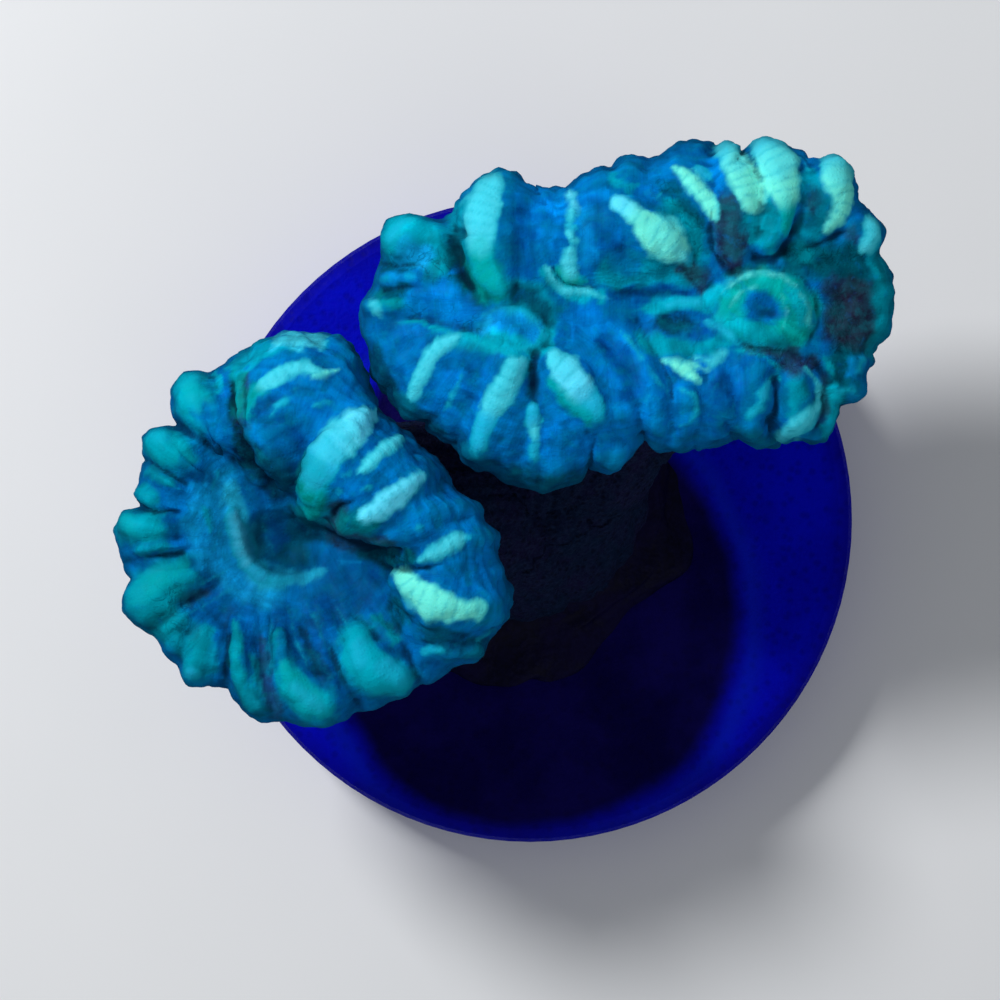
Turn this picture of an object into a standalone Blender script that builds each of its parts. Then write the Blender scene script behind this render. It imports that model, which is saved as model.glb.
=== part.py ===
"""Candy cane coral cutting on its ceramic frag disc, modelled piece by piece.

Two fleshy polyp heads sit on the forked end of a stony skeleton, which is glued to a round disc.
+Z is up and the origin is the middle of the disc's flat underside.
Lengths in the tables are millimetres; mm() turns them into Blender's metres.
"""

import math
from collections import namedtuple

import bpy
import numpy as np
from mathutils import Vector
from mathutils import noise

MM = 0.001

# Driving dimensions, in millimetres.
GAP = 0.3  # clear gap between touching pieces
DISC_RADIUS = 16.0
DISC_THICKNESS = 5.0
DISC_CHAMFER = 0.7
GLUE_REACH = (8.2, 6.9)
GLUE_TURN = math.radians(36)
GLUE_HEIGHT = 1.5
GLUE_LUMPS = 0.35
FORK_HEIGHT = 10.8
FORK_MIDDLE = (-1.3, 2.0)
FORK_TURN = math.radians(34)  # the line from the left head to the right head
SOCKET_CLEARANCE = 0.45
SKIRT_HEIGHT = 14.6  # where the flesh ends on the skeleton
CALICE_HEIGHT = 17.2  # the flat tops of the branches, inside the flesh

# Mesh resolution, in millimetres or as counts.
FLESH_VOXEL = 0.5
SKELETON_VOXEL = 0.6
HEAD_TRIANGLES = 2300
SKELETON_TRIANGLES = 1900

GLUE_BOTTOM = DISC_THICKNESS + GAP
TRUNK_BOTTOM = GLUE_BOTTOM + GLUE_HEIGHT + GAP

# The skeleton as round limbs: each stop is (x, y, z, radius).
LIMBS = [
    [(-0.6, 0.2, 6.0, 5.0), (-1.5, 0.7, 8.2, 4.4), (-4.0, 0.9, 10.6, 3.8),
     (-7.2, 0.6, 13.2, 3.7), (-9.3, 0.3, 15.4, 4.1), (-9.8, 0.1, 17.4, 4.7)],
    [(0.0, 0.6, 6.0, 5.0), (0.0, 2.0, 8.4, 4.3), (0.4, 4.6, 11.0, 3.7),
     (0.5, 6.9, 13.8, 3.7), (0.4, 8.3, 17.4, 4.4)],
    [(0.6, 0.7, 6.0, 5.0), (1.2, 2.4, 8.6, 4.2), (3.6, 5.4, 11.2, 3.6),
     (6.6, 8.3, 13.8, 3.6), (8.4, 10.0, 17.4, 4.4)],
]

# How each kind of fold runs from its inner end to the rim of the head: crest is the share of the run
# where it is highest, inner_width the share of its width that it has at its inner end.
Kind = namedtuple("Kind", "crest inner_width over")
KINDS = {
    "tongue": Kind(crest=0.28, inner_width=0.85, over=True),  # bulges over the mouth
    "lobe": Kind(crest=0.80, inner_width=0.40, over=False),  # climbs out of the mouth to a fat end
    "pleat": Kind(crest=0.74, inner_width=0.60, over=False),  # thin, between lobes
}

# A fold: kind, inner end x, y, outer end x, y, width at its fattest, and how far it bows to its left.
# x and y are from the head's own middle.
Fold = namedtuple("Fold", "kind x0 y0 x1 y1 width bow", defaults=(0.0,))

LEFT_FOLDS = [
    Fold("tongue", -0.1, 0.4, 3.2, 5.4, 2.1, 0.1),
    Fold("tongue", 1.3, 0.9, 4.6, 3.9, 1.6),
    Fold("tongue", 1.3, -0.2, 6.0, 2.4, 1.9, 0.2),
    Fold("tongue", 2.7, -0.9, 7.9, 1.1, 1.8),
    Fold("tongue", 3.5, -1.7, 8.7, -1.0, 1.7, 0.2),
    Fold("tongue", 3.6, -2.3, 9.1, -3.3, 2.3, -0.7),
    Fold("tongue", 4.0, -4.3, 8.2, -5.2, 1.7, -0.2),
    Fold("lobe", 2.4, -4.0, 7.0, -6.7, 1.9, -0.2),
    Fold("lobe", 1.2, -3.4, 4.6, -8.0, 3.0, -0.3),
    Fold("pleat", 0.5, -4.6, 2.9, -8.4, 0.9),
    Fold("pleat", 0.2, -4.6, 1.9, -8.6, 0.8),
    Fold("lobe", -1.0, -3.8, 0.4, -9.1, 2.5, -0.4),
    Fold("pleat", -1.9, -4.3, -1.3, -8.9, 0.9),
    Fold("lobe", -2.6, -3.9, -2.5, -9.1, 1.7, -0.4),
    Fold("pleat", -3.0, -4.0, -3.8, -8.1, 1.0, -0.2),
    Fold("lobe", -3.3, -3.7, -5.4, -7.3, 1.5),
    Fold("lobe", -3.8, -3.3, -6.9, -6.2, 1.6),
    Fold("lobe", -3.9, -2.4, -8.3, -4.8, 2.0),
    Fold("lobe", -4.0, -1.9, -8.7, -3.3, 2.9),
    Fold("pleat", -4.2, -1.1, -8.7, -1.5, 0.9),
    Fold("lobe", -4.2, -0.4, -9.0, 0.0, 1.8),
    Fold("pleat", -4.2, 0.1, -8.2, 1.1, 0.9),
    Fold("lobe", -4.2, 0.4, -8.0, 2.0, 1.2),
    Fold("pleat", -4.0, 0.8, -7.7, 2.8, 0.9),
    Fold("lobe", -3.9, 1.0, -7.7, 4.1, 2.1),
    Fold("pleat", -3.6, 1.5, -6.9, 4.9, 0.9),
    Fold("lobe", -3.2, 1.7, -6.2, 6.7, 2.4),
    Fold("pleat", -2.9, 2.2, -4.8, 7.0, 0.9),
    Fold("pleat", -2.8, 2.5, -3.9, 7.4, 1.0),
    Fold("tongue", -1.7, 1.5, -2.3, 8.3, 2.6, 0.3),
    Fold("tongue", -1.0, 1.7, -0.1, 8.9, 3.0, 0.2),
    Fold("tongue", 0.4, 2.4, 2.1, 7.9, 2.3),
]

RIGHT_FOLDS = [
    Fold("tongue", -5.9, 1.5, -6.0, 6.9, 2.7, 0.2),
    Fold("tongue", -4.0, 1.7, -4.2, 6.4, 2.4),
    Fold("tongue", -2.3, 1.7, -2.4, 6.2, 1.5),
    Fold("tongue", -0.7, 1.7, -1.0, 6.9, 2.4),
    Fold("tongue", 1.6, 1.6, 0.3, 7.4, 2.4, -0.4),
    Fold("tongue", 2.9, 2.0, 1.5, 7.7, 1.7, -0.6),
    Fold("tongue", 3.6, 1.6, 2.6, 8.0, 1.8, -0.7),
    Fold("tongue", 5.0, 2.2, 4.5, 8.1, 2.0, -0.9),
    Fold("tongue", 6.8, 2.9, 6.3, 8.3, 2.2, -1.2),
    Fold("tongue", 8.2, 3.6, 8.2, 7.7, 1.3, -0.3),
    Fold("tongue", 8.8, 3.6, 9.8, 7.3, 2.0, -0.5),
    Fold("lobe", 8.8, 3.0, 11.8, 4.2, 1.8, -0.2),
    Fold("lobe", 8.9, 1.8, 12.1, 2.0, 2.2),
    Fold("lobe", 9.0, 0.4, 12.3, 0.2, 2.3),
    Fold("lobe", 8.9, -0.8, 11.7, -1.5, 1.9),
    Fold("tongue", 8.8, -1.6, 10.9, -3.6, 1.5, 0.2),
    Fold("tongue", 8.5, -2.4, 9.8, -5.0, 1.3, 0.2),
    Fold("tongue", 7.2, -1.6, 8.2, -5.4, 2.4, 0.4),
    Fold("tongue", 5.7, -1.9, 5.7, -5.6, 2.3),
    Fold("tongue", 4.0, -2.2, 4.2, -5.7, 2.0),
    Fold("tongue", 2.3, -2.0, 3.0, -5.9, 1.4),
    Fold("tongue", 1.3, -1.0, 2.0, -6.0, 1.5, 0.2),
    Fold("tongue", -0.4, -0.9, 0.5, -6.5, 2.8, 0.3),
    Fold("tongue", -3.2, -1.5, -0.9, -7.0, 2.5, 0.7),
    Fold("tongue", -2.5, -4.0, -2.5, -7.6, 1.5),
    Fold("tongue", -3.9, -3.2, -4.1, -7.7, 1.9),
    Fold("tongue", -4.3, -1.2, -6.0, -7.1, 2.5, 0.2),
    Fold("tongue", -5.6, -0.9, -7.7, -6.5, 1.9),
    Fold("tongue", -6.6, -0.8, -9.4, -5.1, 2.0),
    Fold("tongue", -7.1, -0.6, -10.7, -3.7, 2.2, 0.1),
    Fold("lobe", -6.9, 0.0, -11.3, -1.6, 1.7),
    Fold("lobe", -6.9, 0.6, -11.6, 0.4, 2.0),
    Fold("pleat", -7.0, 1.3, -10.9, 1.8, 1.3),
    Fold("pleat", -7.2, 2.0, -10.7, 2.9, 1.2),
    Fold("tongue", -7.2, 3.5, -10.5, 4.4, 2.5),
    Fold("pleat", -6.9, 2.8, -8.4, 5.4, 1.4),
]

# A head: where its middle is, the valley its folds run down to (two points, the same one for a single
# mouth), the height and place of its summit, how steeply its crests fall away from there, the floor of
# its valley, how steeply the folds climb out of it, the height of its waist, and where its foot is.
Head = namedtuple("Head", "name middle valley summit top slope floor climb waist folds foot")

HEADS = [
    Head("left_polyp", (-10.0, 0.0), [(-1.2, -1.0), (-1.2, -1.0)], (2.2, 2.0), 27.0, 0.42, 19.2, 0.42, 20.2,
         LEFT_FOLDS, (0.4, 0.1)),
    Head("right_polyp", (4.0, 9.0), [(-5.5, 0.3), (7.5, 0.6)], (0.5, 0.5), 27.2, 0.22, 23.2, 0.35, 21.0,
         RIGHT_FOLDS, (0.2, 0.1)),
]

RUN_STOPS = 9  # stops along a fold from its inner end to the rim
SKIRT = [(0.96, 0.95), (0.84, 0.75), (0.66, 0.50)]  # (reach, width) as shares, down to the skirt's end
BODY_SINK = 0.5  # how far the body lies under a fold's crest, as a share of the fold's width
BODY_TURNS = 72
FULL_TURN = 2 * math.pi


def mm(*values):
    """Millimetres as a Blender vector in metres."""
    return Vector(values) * MM


def clear_scene():
    for item in list(bpy.data.objects):
        bpy.data.objects.remove(item)


def make_collection(name):
    collection = bpy.data.collections.new(name)
    bpy.context.scene.collection.children.link(collection)
    return collection


def make_material(name, colour, roughness):
    material = bpy.data.materials.new(name)
    material.use_nodes = True
    shader = material.node_tree.nodes["Principled BSDF"]
    shader.inputs["Base Color"].default_value = (*colour, 1.0)
    shader.inputs["Roughness"].default_value = roughness
    shader.inputs["Metallic"].default_value = 0.0
    return material


def select_only(*items):
    bpy.ops.object.select_all(action="DESELECT")
    for item in items:
        item.select_set(True)
    bpy.context.view_layer.objects.active = items[-1]


def joined(pieces, name):
    """The pieces as one mesh object of that name."""
    select_only(*pieces)
    bpy.ops.object.convert(target="MESH")
    bpy.ops.object.join()
    item = bpy.context.view_layer.objects.active
    item.name = item.data.name = name
    return item


def apply_modifier(item, kind, **settings):
    modifier = item.modifiers.new(kind, kind)
    for key, value in settings.items():
        setattr(modifier, key, value)
    select_only(item)
    bpy.ops.object.modifier_apply(modifier=modifier.name)


def triangle_count(item):
    item.data.calc_loop_triangles()
    return len(item.data.loop_triangles)


def melt_together(item, voxel, passes, triangles):
    """Turns overlapping closed shapes into one soft skin with about that many triangles."""
    apply_modifier(item, "REMESH", mode="VOXEL", voxel_size=voxel * MM, adaptivity=0.0)
    apply_modifier(item, "SMOOTH", factor=0.5, iterations=passes)
    apply_modifier(item, "DECIMATE", ratio=triangles / triangle_count(item))


def tube(stops):
    """A round tube with filled caps through stops of (x, y, z, radius), ending in balls at both ends."""
    curve = bpy.data.curves.new("tube", "CURVE")
    curve.dimensions = "3D"
    curve.bevel_depth = MM
    curve.bevel_resolution = 2
    curve.use_fill_caps = True
    spline = curve.splines.new("POLY")
    spline.points.add(len(stops) - 1)
    for point, (x, y, z, radius) in zip(spline.points, stops):
        point.co = (*mm(x, y, z), 1.0)
        point.radius = radius
    item = bpy.data.objects.new("tube", curve)
    bpy.context.scene.collection.objects.link(item)
    pieces = [item]
    for x, y, z, radius in (stops[0], stops[-1]):
        bpy.ops.mesh.primitive_uv_sphere_add(segments=12, ring_count=8, radius=radius * MM, location=mm(x, y, z))
        pieces.append(bpy.context.object)
    return pieces


def valley_distance(head, place):
    """How far a place is from the head's valley line."""
    start, end = (Vector(point) for point in head.valley)
    line = end - start
    share = 0.0 if line.length == 0 else max(0.0, min(1.0, (place - start).dot(line) / line.length_squared))
    return (place - start.lerp(end, share)).length


def crest_height(head, x, y):
    """The height of a fold's crest at x, y, from the head's middle."""
    away = math.hypot(x - head.summit[0], y - head.summit[1])
    return head.top - head.slope * away


def fold_stops(head, fold):
    """Stops of (x, y, z, radius) along the fold, from its inner end over the crest and rim to the skirt."""
    kind = KINDS[fold.kind]
    start, end = Vector((fold.x0, fold.y0)), Vector((fold.x1, fold.y1))
    along = (end - start).normalized()
    fat = fold.width / 2
    thin = fat * kind.inner_width
    start += along * thin
    end -= along * fat
    side = Vector((-along.y, along.x)) * fold.bow * 2
    crest_at = start.lerp(end, kind.crest)
    crest = crest_height(head, *crest_at)
    inner = crest - thin if kind.over else head.floor + valley_distance(head, start) * head.climb + thin
    stops = []
    for step in range(RUN_STOPS + 1):
        share = step / RUN_STOPS
        place = start.lerp(end, share) + side * share * (1 - share) * 2
        radius = thin + (fat - thin) * min(1.0, share / kind.crest)
        if share < kind.crest:
            lift = math.sin(share / kind.crest * math.pi / 2)
            top = inner + (crest - inner) * lift
        else:
            fall = (share - kind.crest) / (1 - kind.crest)
            top = crest + (head.waist + fat - crest) * (1 - math.sqrt(max(0.0, 1 - fall ** 2)))
        stops.append((*place, top - radius, radius))
    foot = Vector(head.foot)
    for number, (reach, width) in enumerate(SKIRT, 1):
        place = foot.lerp(end, reach)
        height = head.waist + (SKIRT_HEIGHT + fat * width - head.waist) * number / len(SKIRT)
        stops.append((*place, height, fat * width))
    return [(x + head.middle[0], y + head.middle[1], z, radius) for x, y, z, radius in stops]


def heart_of(head):
    return (Vector(head.valley[0]) + Vector(head.valley[1])) / 2


def body_profile(head, fold):
    """(angle round the heart, profile of (reach, height)) of the flesh under one fold."""
    heart = heart_of(head)
    kind = KINDS[fold.kind]
    start, end = Vector((fold.x0, fold.y0)), Vector((fold.x1, fold.y1))
    crest_at = start.lerp(end, kind.crest)
    crest = crest_height(head, *crest_at) - fold.width * BODY_SINK
    inner = (start - heart).length
    rim = (end - heart).length - fold.width * BODY_SINK * 0.6
    middle = (crest_at - heart).length
    outward = end - heart
    angle = math.atan2(outward.y, outward.x) % FULL_TURN
    shoulder = middle + (rim - middle) * 0.6
    shoulder_height = crest + (head.waist - crest) * 0.28
    floor_edge = max(0.3, inner * 0.8)
    return angle, [
        (floor_edge * 0.5, head.floor), (floor_edge, head.floor + floor_edge * 0.2),
        (middle, crest), (shoulder, shoulder_height), (rim, head.waist),
        (rim * 0.93, head.waist - 1.8), (rim * 0.78, head.waist - 3.8), (rim * 0.55, SKIRT_HEIGHT + 0.6),
    ]


def head_body(head):
    """The flesh under the folds: a ball pulled out to the folds' reach all round, and sunk at the heart."""
    profiles = sorted(body_profile(head, fold) for fold in head.folds)
    angles = [angle for angle, _ in profiles]
    table = np.array([profile for _, profile in profiles])
    rings = table.shape[1]
    bpy.ops.mesh.primitive_uv_sphere_add(segments=BODY_TURNS, ring_count=rings + 1, radius=1.0)
    body = bpy.context.object
    centre = Vector(head.middle) + heart_of(head)
    for vertex in body.data.vertices:
        angle = math.atan2(vertex.co.y, vertex.co.x) % FULL_TURN
        ring = round(math.acos(max(-1.0, min(1.0, vertex.co.z))) / math.pi * (rings + 1))
        if ring == 0:
            vertex.co = mm(*centre, head.floor)
        elif ring == rings + 1:
            vertex.co = mm(*centre, SKIRT_HEIGHT + 0.6)
        else:
            reach = np.interp(angle, angles, table[:, ring - 1, 0], period=FULL_TURN)
            height = np.interp(angle, angles, table[:, ring - 1, 1], period=FULL_TURN)
            vertex.co = mm(centre.x + reach * math.cos(angle), centre.y + reach * math.sin(angle), height)
    return body


def make_skeleton(name, grow=0.0):
    """The whole forked skeleton as one solid, grown outwards by that much."""
    pieces = []
    for limb in LIMBS:
        pieces += tube([(x, y, z, radius + grow) for x, y, z, radius in limb])
    skeleton = joined(pieces, name)
    melt_together(skeleton, SKELETON_VOXEL, 4, SKELETON_TRIANGLES)
    keep_side(skeleton, (0, 0, CALICE_HEIGHT + grow), (0, 0, -1))
    return skeleton


def keep_side(item, point, normal):
    """Cuts the item off flat at a plane and keeps the side that the normal points to."""
    select_only(item)
    bpy.ops.object.mode_set(mode="EDIT")
    bpy.ops.mesh.select_all(action="SELECT")
    bpy.ops.mesh.bisect(plane_co=mm(*point), plane_no=normal, use_fill=True, clear_inner=True)
    bpy.ops.object.mode_set(mode="OBJECT")


def skeleton_piece(skeleton, name, cuts):
    piece = skeleton.copy()
    piece.data = skeleton.data.copy()
    bpy.context.scene.collection.objects.link(piece)
    piece.name = piece.data.name = name
    for point, normal in cuts:
        keep_side(piece, point, normal)
    return piece


def make_coral_skeleton():
    """Trunk and two branches, parted at the fork with a gap at each cut."""
    skeleton = make_skeleton("skeleton")
    across = Vector((math.cos(FORK_TURN), math.sin(FORK_TURN), 0.0))
    left_cut = Vector((*FORK_MIDDLE, 0.0)) - across * GAP / 2
    right_cut = Vector((*FORK_MIDDLE, 0.0)) + across * GAP / 2
    trunk_top, branch_bottom = (0, 0, FORK_HEIGHT), (0, 0, FORK_HEIGHT + GAP)
    pieces = [
        skeleton_piece(skeleton, "trunk", [((0, 0, TRUNK_BOTTOM), (0, 0, 1)), (trunk_top, (0, 0, -1))]),
        skeleton_piece(skeleton, "left_branch", [(branch_bottom, (0, 0, 1)), (left_cut, -across)]),
        skeleton_piece(skeleton, "right_branch", [(branch_bottom, (0, 0, 1)), (right_cut, across)]),
    ]
    bpy.data.objects.remove(skeleton)
    return pieces


def make_polyp(head, socket_cutter):
    pieces = [head_body(head)]
    for fold in head.folds:
        pieces += tube(fold_stops(head, fold))
    polyp = joined(pieces, head.name)
    melt_together(polyp, FLESH_VOXEL, 3, HEAD_TRIANGLES)
    apply_modifier(polyp, "BOOLEAN", operation="DIFFERENCE", object=socket_cutter)
    return polyp


def make_disc():
    bpy.ops.mesh.primitive_cylinder_add(
        vertices=96, radius=DISC_RADIUS * MM, depth=DISC_THICKNESS * MM, location=mm(0, 0, DISC_THICKNESS / 2))
    disc = bpy.context.object
    disc.name = disc.data.name = "frag_disc"
    bevel = disc.modifiers.new("chamfered_edge", "BEVEL")
    bevel.width = DISC_CHAMFER * MM
    bevel.segments = 2
    return disc


def make_glue():
    """A low mound of cured gel, cut flat underneath, with a wandering edge."""
    bpy.ops.mesh.primitive_uv_sphere_add(segments=40, ring_count=12, radius=1.0)
    glue = bpy.context.object
    glue.name = glue.data.name = "glue_pad"
    turn_cos, turn_sin = math.cos(GLUE_TURN), math.sin(GLUE_TURN)
    for vertex in glue.data.vertices:
        lump = 1 + GLUE_LUMPS * 0.5 * noise.noise(vertex.co * 1.7)
        x, y = vertex.co.x * GLUE_REACH[0] * lump, vertex.co.y * GLUE_REACH[1] * lump
        height = GLUE_BOTTOM + vertex.co.z * GLUE_HEIGHT
        vertex.co = mm(x * turn_cos - y * turn_sin, x * turn_sin + y * turn_cos, height)
    keep_side(glue, (0, 0, GLUE_BOTTOM), (0, 0, 1))
    return glue


def finish_piece(item, collection, material, sharp_angle):
    for other in list(item.users_collection):
        other.objects.unlink(item)
    collection.objects.link(item)
    item.data.materials.clear()
    item.data.materials.append(material)
    item.data.shade_smooth()
    item.data.set_sharp_from_angle(angle=math.radians(sharp_angle))


def main():
    clear_scene()
    coral = make_collection("candy_cane_coral")
    ceramic = make_material("blue ceramic", (0.0, 0.003, 0.26), 0.55)
    gel = make_material("cured gel glue", (0.01, 0.01, 0.05), 0.35)
    stone = make_material("coral skeleton", (0.02, 0.02, 0.06), 0.85)
    flesh = make_material("polyp flesh", (0.01, 0.18, 0.42), 0.4)
    disc, glue = make_disc(), make_glue()
    skeleton_pieces = make_coral_skeleton()
    socket_cutter = make_skeleton("socket_cutter", grow=SOCKET_CLEARANCE)
    polyps = [make_polyp(head, socket_cutter) for head in HEADS]
    bpy.data.objects.remove(socket_cutter)
    finish_piece(disc, coral, ceramic, 30)
    finish_piece(glue, coral, gel, 60)
    for piece in skeleton_pieces:
        finish_piece(piece, coral, stone, 50)
    for polyp in polyps:
        finish_piece(polyp, coral, flesh, 80)


main()
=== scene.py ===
"""Looks of the candy cane coral cutting: the fleshy heads, the stony stem, the glue and the ceramic disc.

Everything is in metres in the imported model's frame, with +Z up. The tables are in millimetres, and mm() and
MM turn them into metres. Each head is grown from round folds that are melted into one skin, which is then
sculpted and painted fold by fold.
"""

import math
from collections import namedtuple

import bpy
import numpy as np
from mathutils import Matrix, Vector
from mathutils import noise


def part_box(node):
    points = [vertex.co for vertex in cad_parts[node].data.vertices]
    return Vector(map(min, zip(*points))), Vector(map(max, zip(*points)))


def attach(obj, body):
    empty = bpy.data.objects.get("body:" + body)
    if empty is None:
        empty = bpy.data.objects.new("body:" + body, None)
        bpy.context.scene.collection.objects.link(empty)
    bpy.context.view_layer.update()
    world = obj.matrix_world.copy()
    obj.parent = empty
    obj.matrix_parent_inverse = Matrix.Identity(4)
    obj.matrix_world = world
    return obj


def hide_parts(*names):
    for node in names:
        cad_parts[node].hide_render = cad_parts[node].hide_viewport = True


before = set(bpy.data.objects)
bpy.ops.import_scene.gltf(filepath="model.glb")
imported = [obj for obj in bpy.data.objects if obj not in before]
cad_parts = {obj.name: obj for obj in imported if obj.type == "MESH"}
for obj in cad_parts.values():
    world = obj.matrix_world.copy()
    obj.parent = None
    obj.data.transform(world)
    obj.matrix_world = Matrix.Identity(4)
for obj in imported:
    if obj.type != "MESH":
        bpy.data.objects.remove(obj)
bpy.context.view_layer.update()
bpy.ops.object.select_all(action="DESELECT")

MM = 0.001
FULL_TURN = 2 * math.pi
FAR = 1e9  # further than anything here, to start a search for the nearest

# ---------------------------------------------------------------------------------------------------------
# Colours, as they look on screen


def linear(*screen):
    """A screen colour, 0 to 255, as the linear colour that shaders take."""
    shares = [value / 255 for value in screen]
    return tuple(share / 12.92 if share <= 0.04 else ((share + 0.055) / 1.055) ** 2.4 for share in shares)


PALETTE = {
    "mint": linear(108, 230, 212),
    "ice": linear(92, 216, 246),
    "pale": linear(68, 200, 220),
    "aqua": linear(30, 168, 208),
    "turquoise": linear(2, 156, 178),
    "sea": linear(2, 152, 148),
    "teal": linear(0, 132, 150),
    "green_teal": linear(0, 122, 118),
    "sky": linear(4, 128, 200),
    "glow": linear(14, 156, 222),
    "azure": linear(0, 112, 194),
    "blue": linear(0, 94, 164),
    "deep_blue": linear(0, 66, 134),
    "dark_teal": linear(0, 66, 86),
    "dusk": linear(2, 46, 76),
    "navy": linear(2, 14, 36),
    "maroon": linear(30, 22, 42),
    "stone": linear(6, 24, 50),
    "stone_violet": linear(22, 20, 56),
    "stone_grit": linear(26, 44, 78),
    "stone_pore": linear(4, 6, 20),
    "gel": linear(4, 4, 26),
    "gel_cloud": linear(12, 8, 44),
    "gel_grit": linear(24, 26, 74),
    "clay": linear(0, 0, 158),
    "clay_bright": linear(0, 4, 184),
    "clay_grit": linear(4, 20, 184),
    "clay_pit": linear(0, 0, 80),
    "clay_rim": linear(4, 0, 84),
    # The painted shadow on the disc, its clouding, and the lighter painted line at its edge.
    "painted_shadow": linear(3, 0, 28),
    "painted_shadow_cloud": linear(10, 4, 50),
    "painted_shadow_edge": linear(6, 36, 170),
    "floor": linear(226, 228, 230),
    "floor_light": linear(232, 233, 235),
}

# ---------------------------------------------------------------------------------------------------------
# The heads: tables in millimetres from each head's own middle

# How a kind of fold runs from its inner end to the rim: crest is the share of the run where it is highest,
# inner_width the share of its width at its inner end, spread how much fatter its tube is than the fold
# shows, over whether it bulges over the mouth, soften how far it melts into its neighbours, ripple how
# strongly it is wrinkled across, and drawn how far the skin is drawn in beside it.
Kind = namedtuple("Kind", "crest inner_width spread over soften ripple drawn")
KINDS = {
    "tongue": Kind(0.30, 0.80, 1.25, over=True, soften=0.85, ripple=1.0, drawn=0.3),
    "mass": Kind(0.34, 0.62, 1.40, over=True, soften=0.92, ripple=1.0, drawn=0.15),
    "flank": Kind(0.60, 0.50, 1.40, over=False, soften=0.95, ripple=0.8, drawn=0.15),
    "lobe": Kind(0.80, 0.22, 1.08, over=False, soften=0.75, ripple=0.3, drawn=0.4),
    "pleat": Kind(0.72, 0.30, 1.00, over=False, soften=0.80, ripple=0.15, drawn=0.4),
}

# A fold: kind, inner end x, y, outer end x, y, width, bow to its left, and how far it stands above its
# place.
Fold = namedtuple("Fold", "kind x0 y0 x1 y1 width bow lift", defaults=(0.0, 0.0))

LEFT_FOLDS = [Fold(*row) for row in [
    ("tongue", -1.9, 1.5, -0.7, 8.8, 4.2, 0.2, 0.1),
    ("tongue", -2.4, 3.2, -2.9, 8.1, 2.2, 0.1, -0.3),
    ("mass", -0.3, 3, 1.7, 8.2, 3.2, 0.1, -0.2),
    ("tongue", -0.2, 0.1, 3.3, 5.8, 2.1, 0.1, 0.35),
    ("mass", 1, 0.8, 4.6, 4.6, 2),
    ("mass", 0.9, -0.5, 5.8, 3.1, 2.1, 0.2, 0.25),
    ("mass", 2.3, -0.9, 7.6, 1.6, 2.1, 0.1),
    ("mass", 3.3, -1.7, 8.6, -0.8, 2.1, 0.2, 0.1),
    ("tongue", 3.4, -2.2, 9.1, -3.2, 2.4, -0.7, 0.1),
    ("mass", 3.9, -3.9, 8.4, -5.3, 2.2, -0.2, -0.5),
    ("lobe", 2.6, -3.4, 6.6, -6.9, 1.9, -0.2, -0.4),
    ("lobe", 0.9, -2.8, 3.7, -8.4, 3.2),
    ("pleat", 0.2, -3, 1.9, -8.4, 0.8),
    ("pleat", -0.3, -3, 1.1, -8.7, 0.8),
    ("lobe", -1.1, -3.1, 0, -9.3, 2.5, -0.5),
    ("pleat", -1.6, -3.1, -1.3, -8.4, 0.8, -0.2),
    ("lobe", -2.1, -3, -2.3, -9.2, 2, -0.5),
    ("pleat", -2.5, -2.9, -3.6, -7.8, 1, -0.3),
    ("lobe", -2.8, -2.7, -5.3, -7.5, 1.9, -0.2, -0.1),
    ("lobe", -3.1, -2.4, -7, -5.9, 2.2, -0.1, -0.2),
    ("lobe", -3.5, -1.8, -8.9, -3.7, 3.2, 0.1),
    ("pleat", -3.7, -1.3, -8.1, -1.7, 0.8),
    ("pleat", -3.8, -0.9, -8.2, -1.1, 0.7),
    ("lobe", -3.8, -0.5, -9.1, 0, 1.8),
    ("pleat", -3.8, 0, -7.7, 0.9, 0.7),
    ("lobe", -3.8, 0.2, -8.1, 1.6, 1.2),
    ("pleat", -3.7, 0.5, -7.4, 2.4, 0.9),
    ("lobe", -3.6, 0.8, -8, 4.1, 2.3, 0.1),
    ("pleat", -3.4, 1.2, -6.5, 4.7, 0.8),
    ("lobe", -3.2, 1.6, -6.2, 7, 2.5, 0.2),
    ("pleat", -3.1, 2, -4.8, 6.7, 0.8),
    ("pleat", -3, 2.4, -4.2, 7, 0.8),
    ("pleat", -2.9, 2.8, -3.6, 7.4, 0.9),
]]

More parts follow.
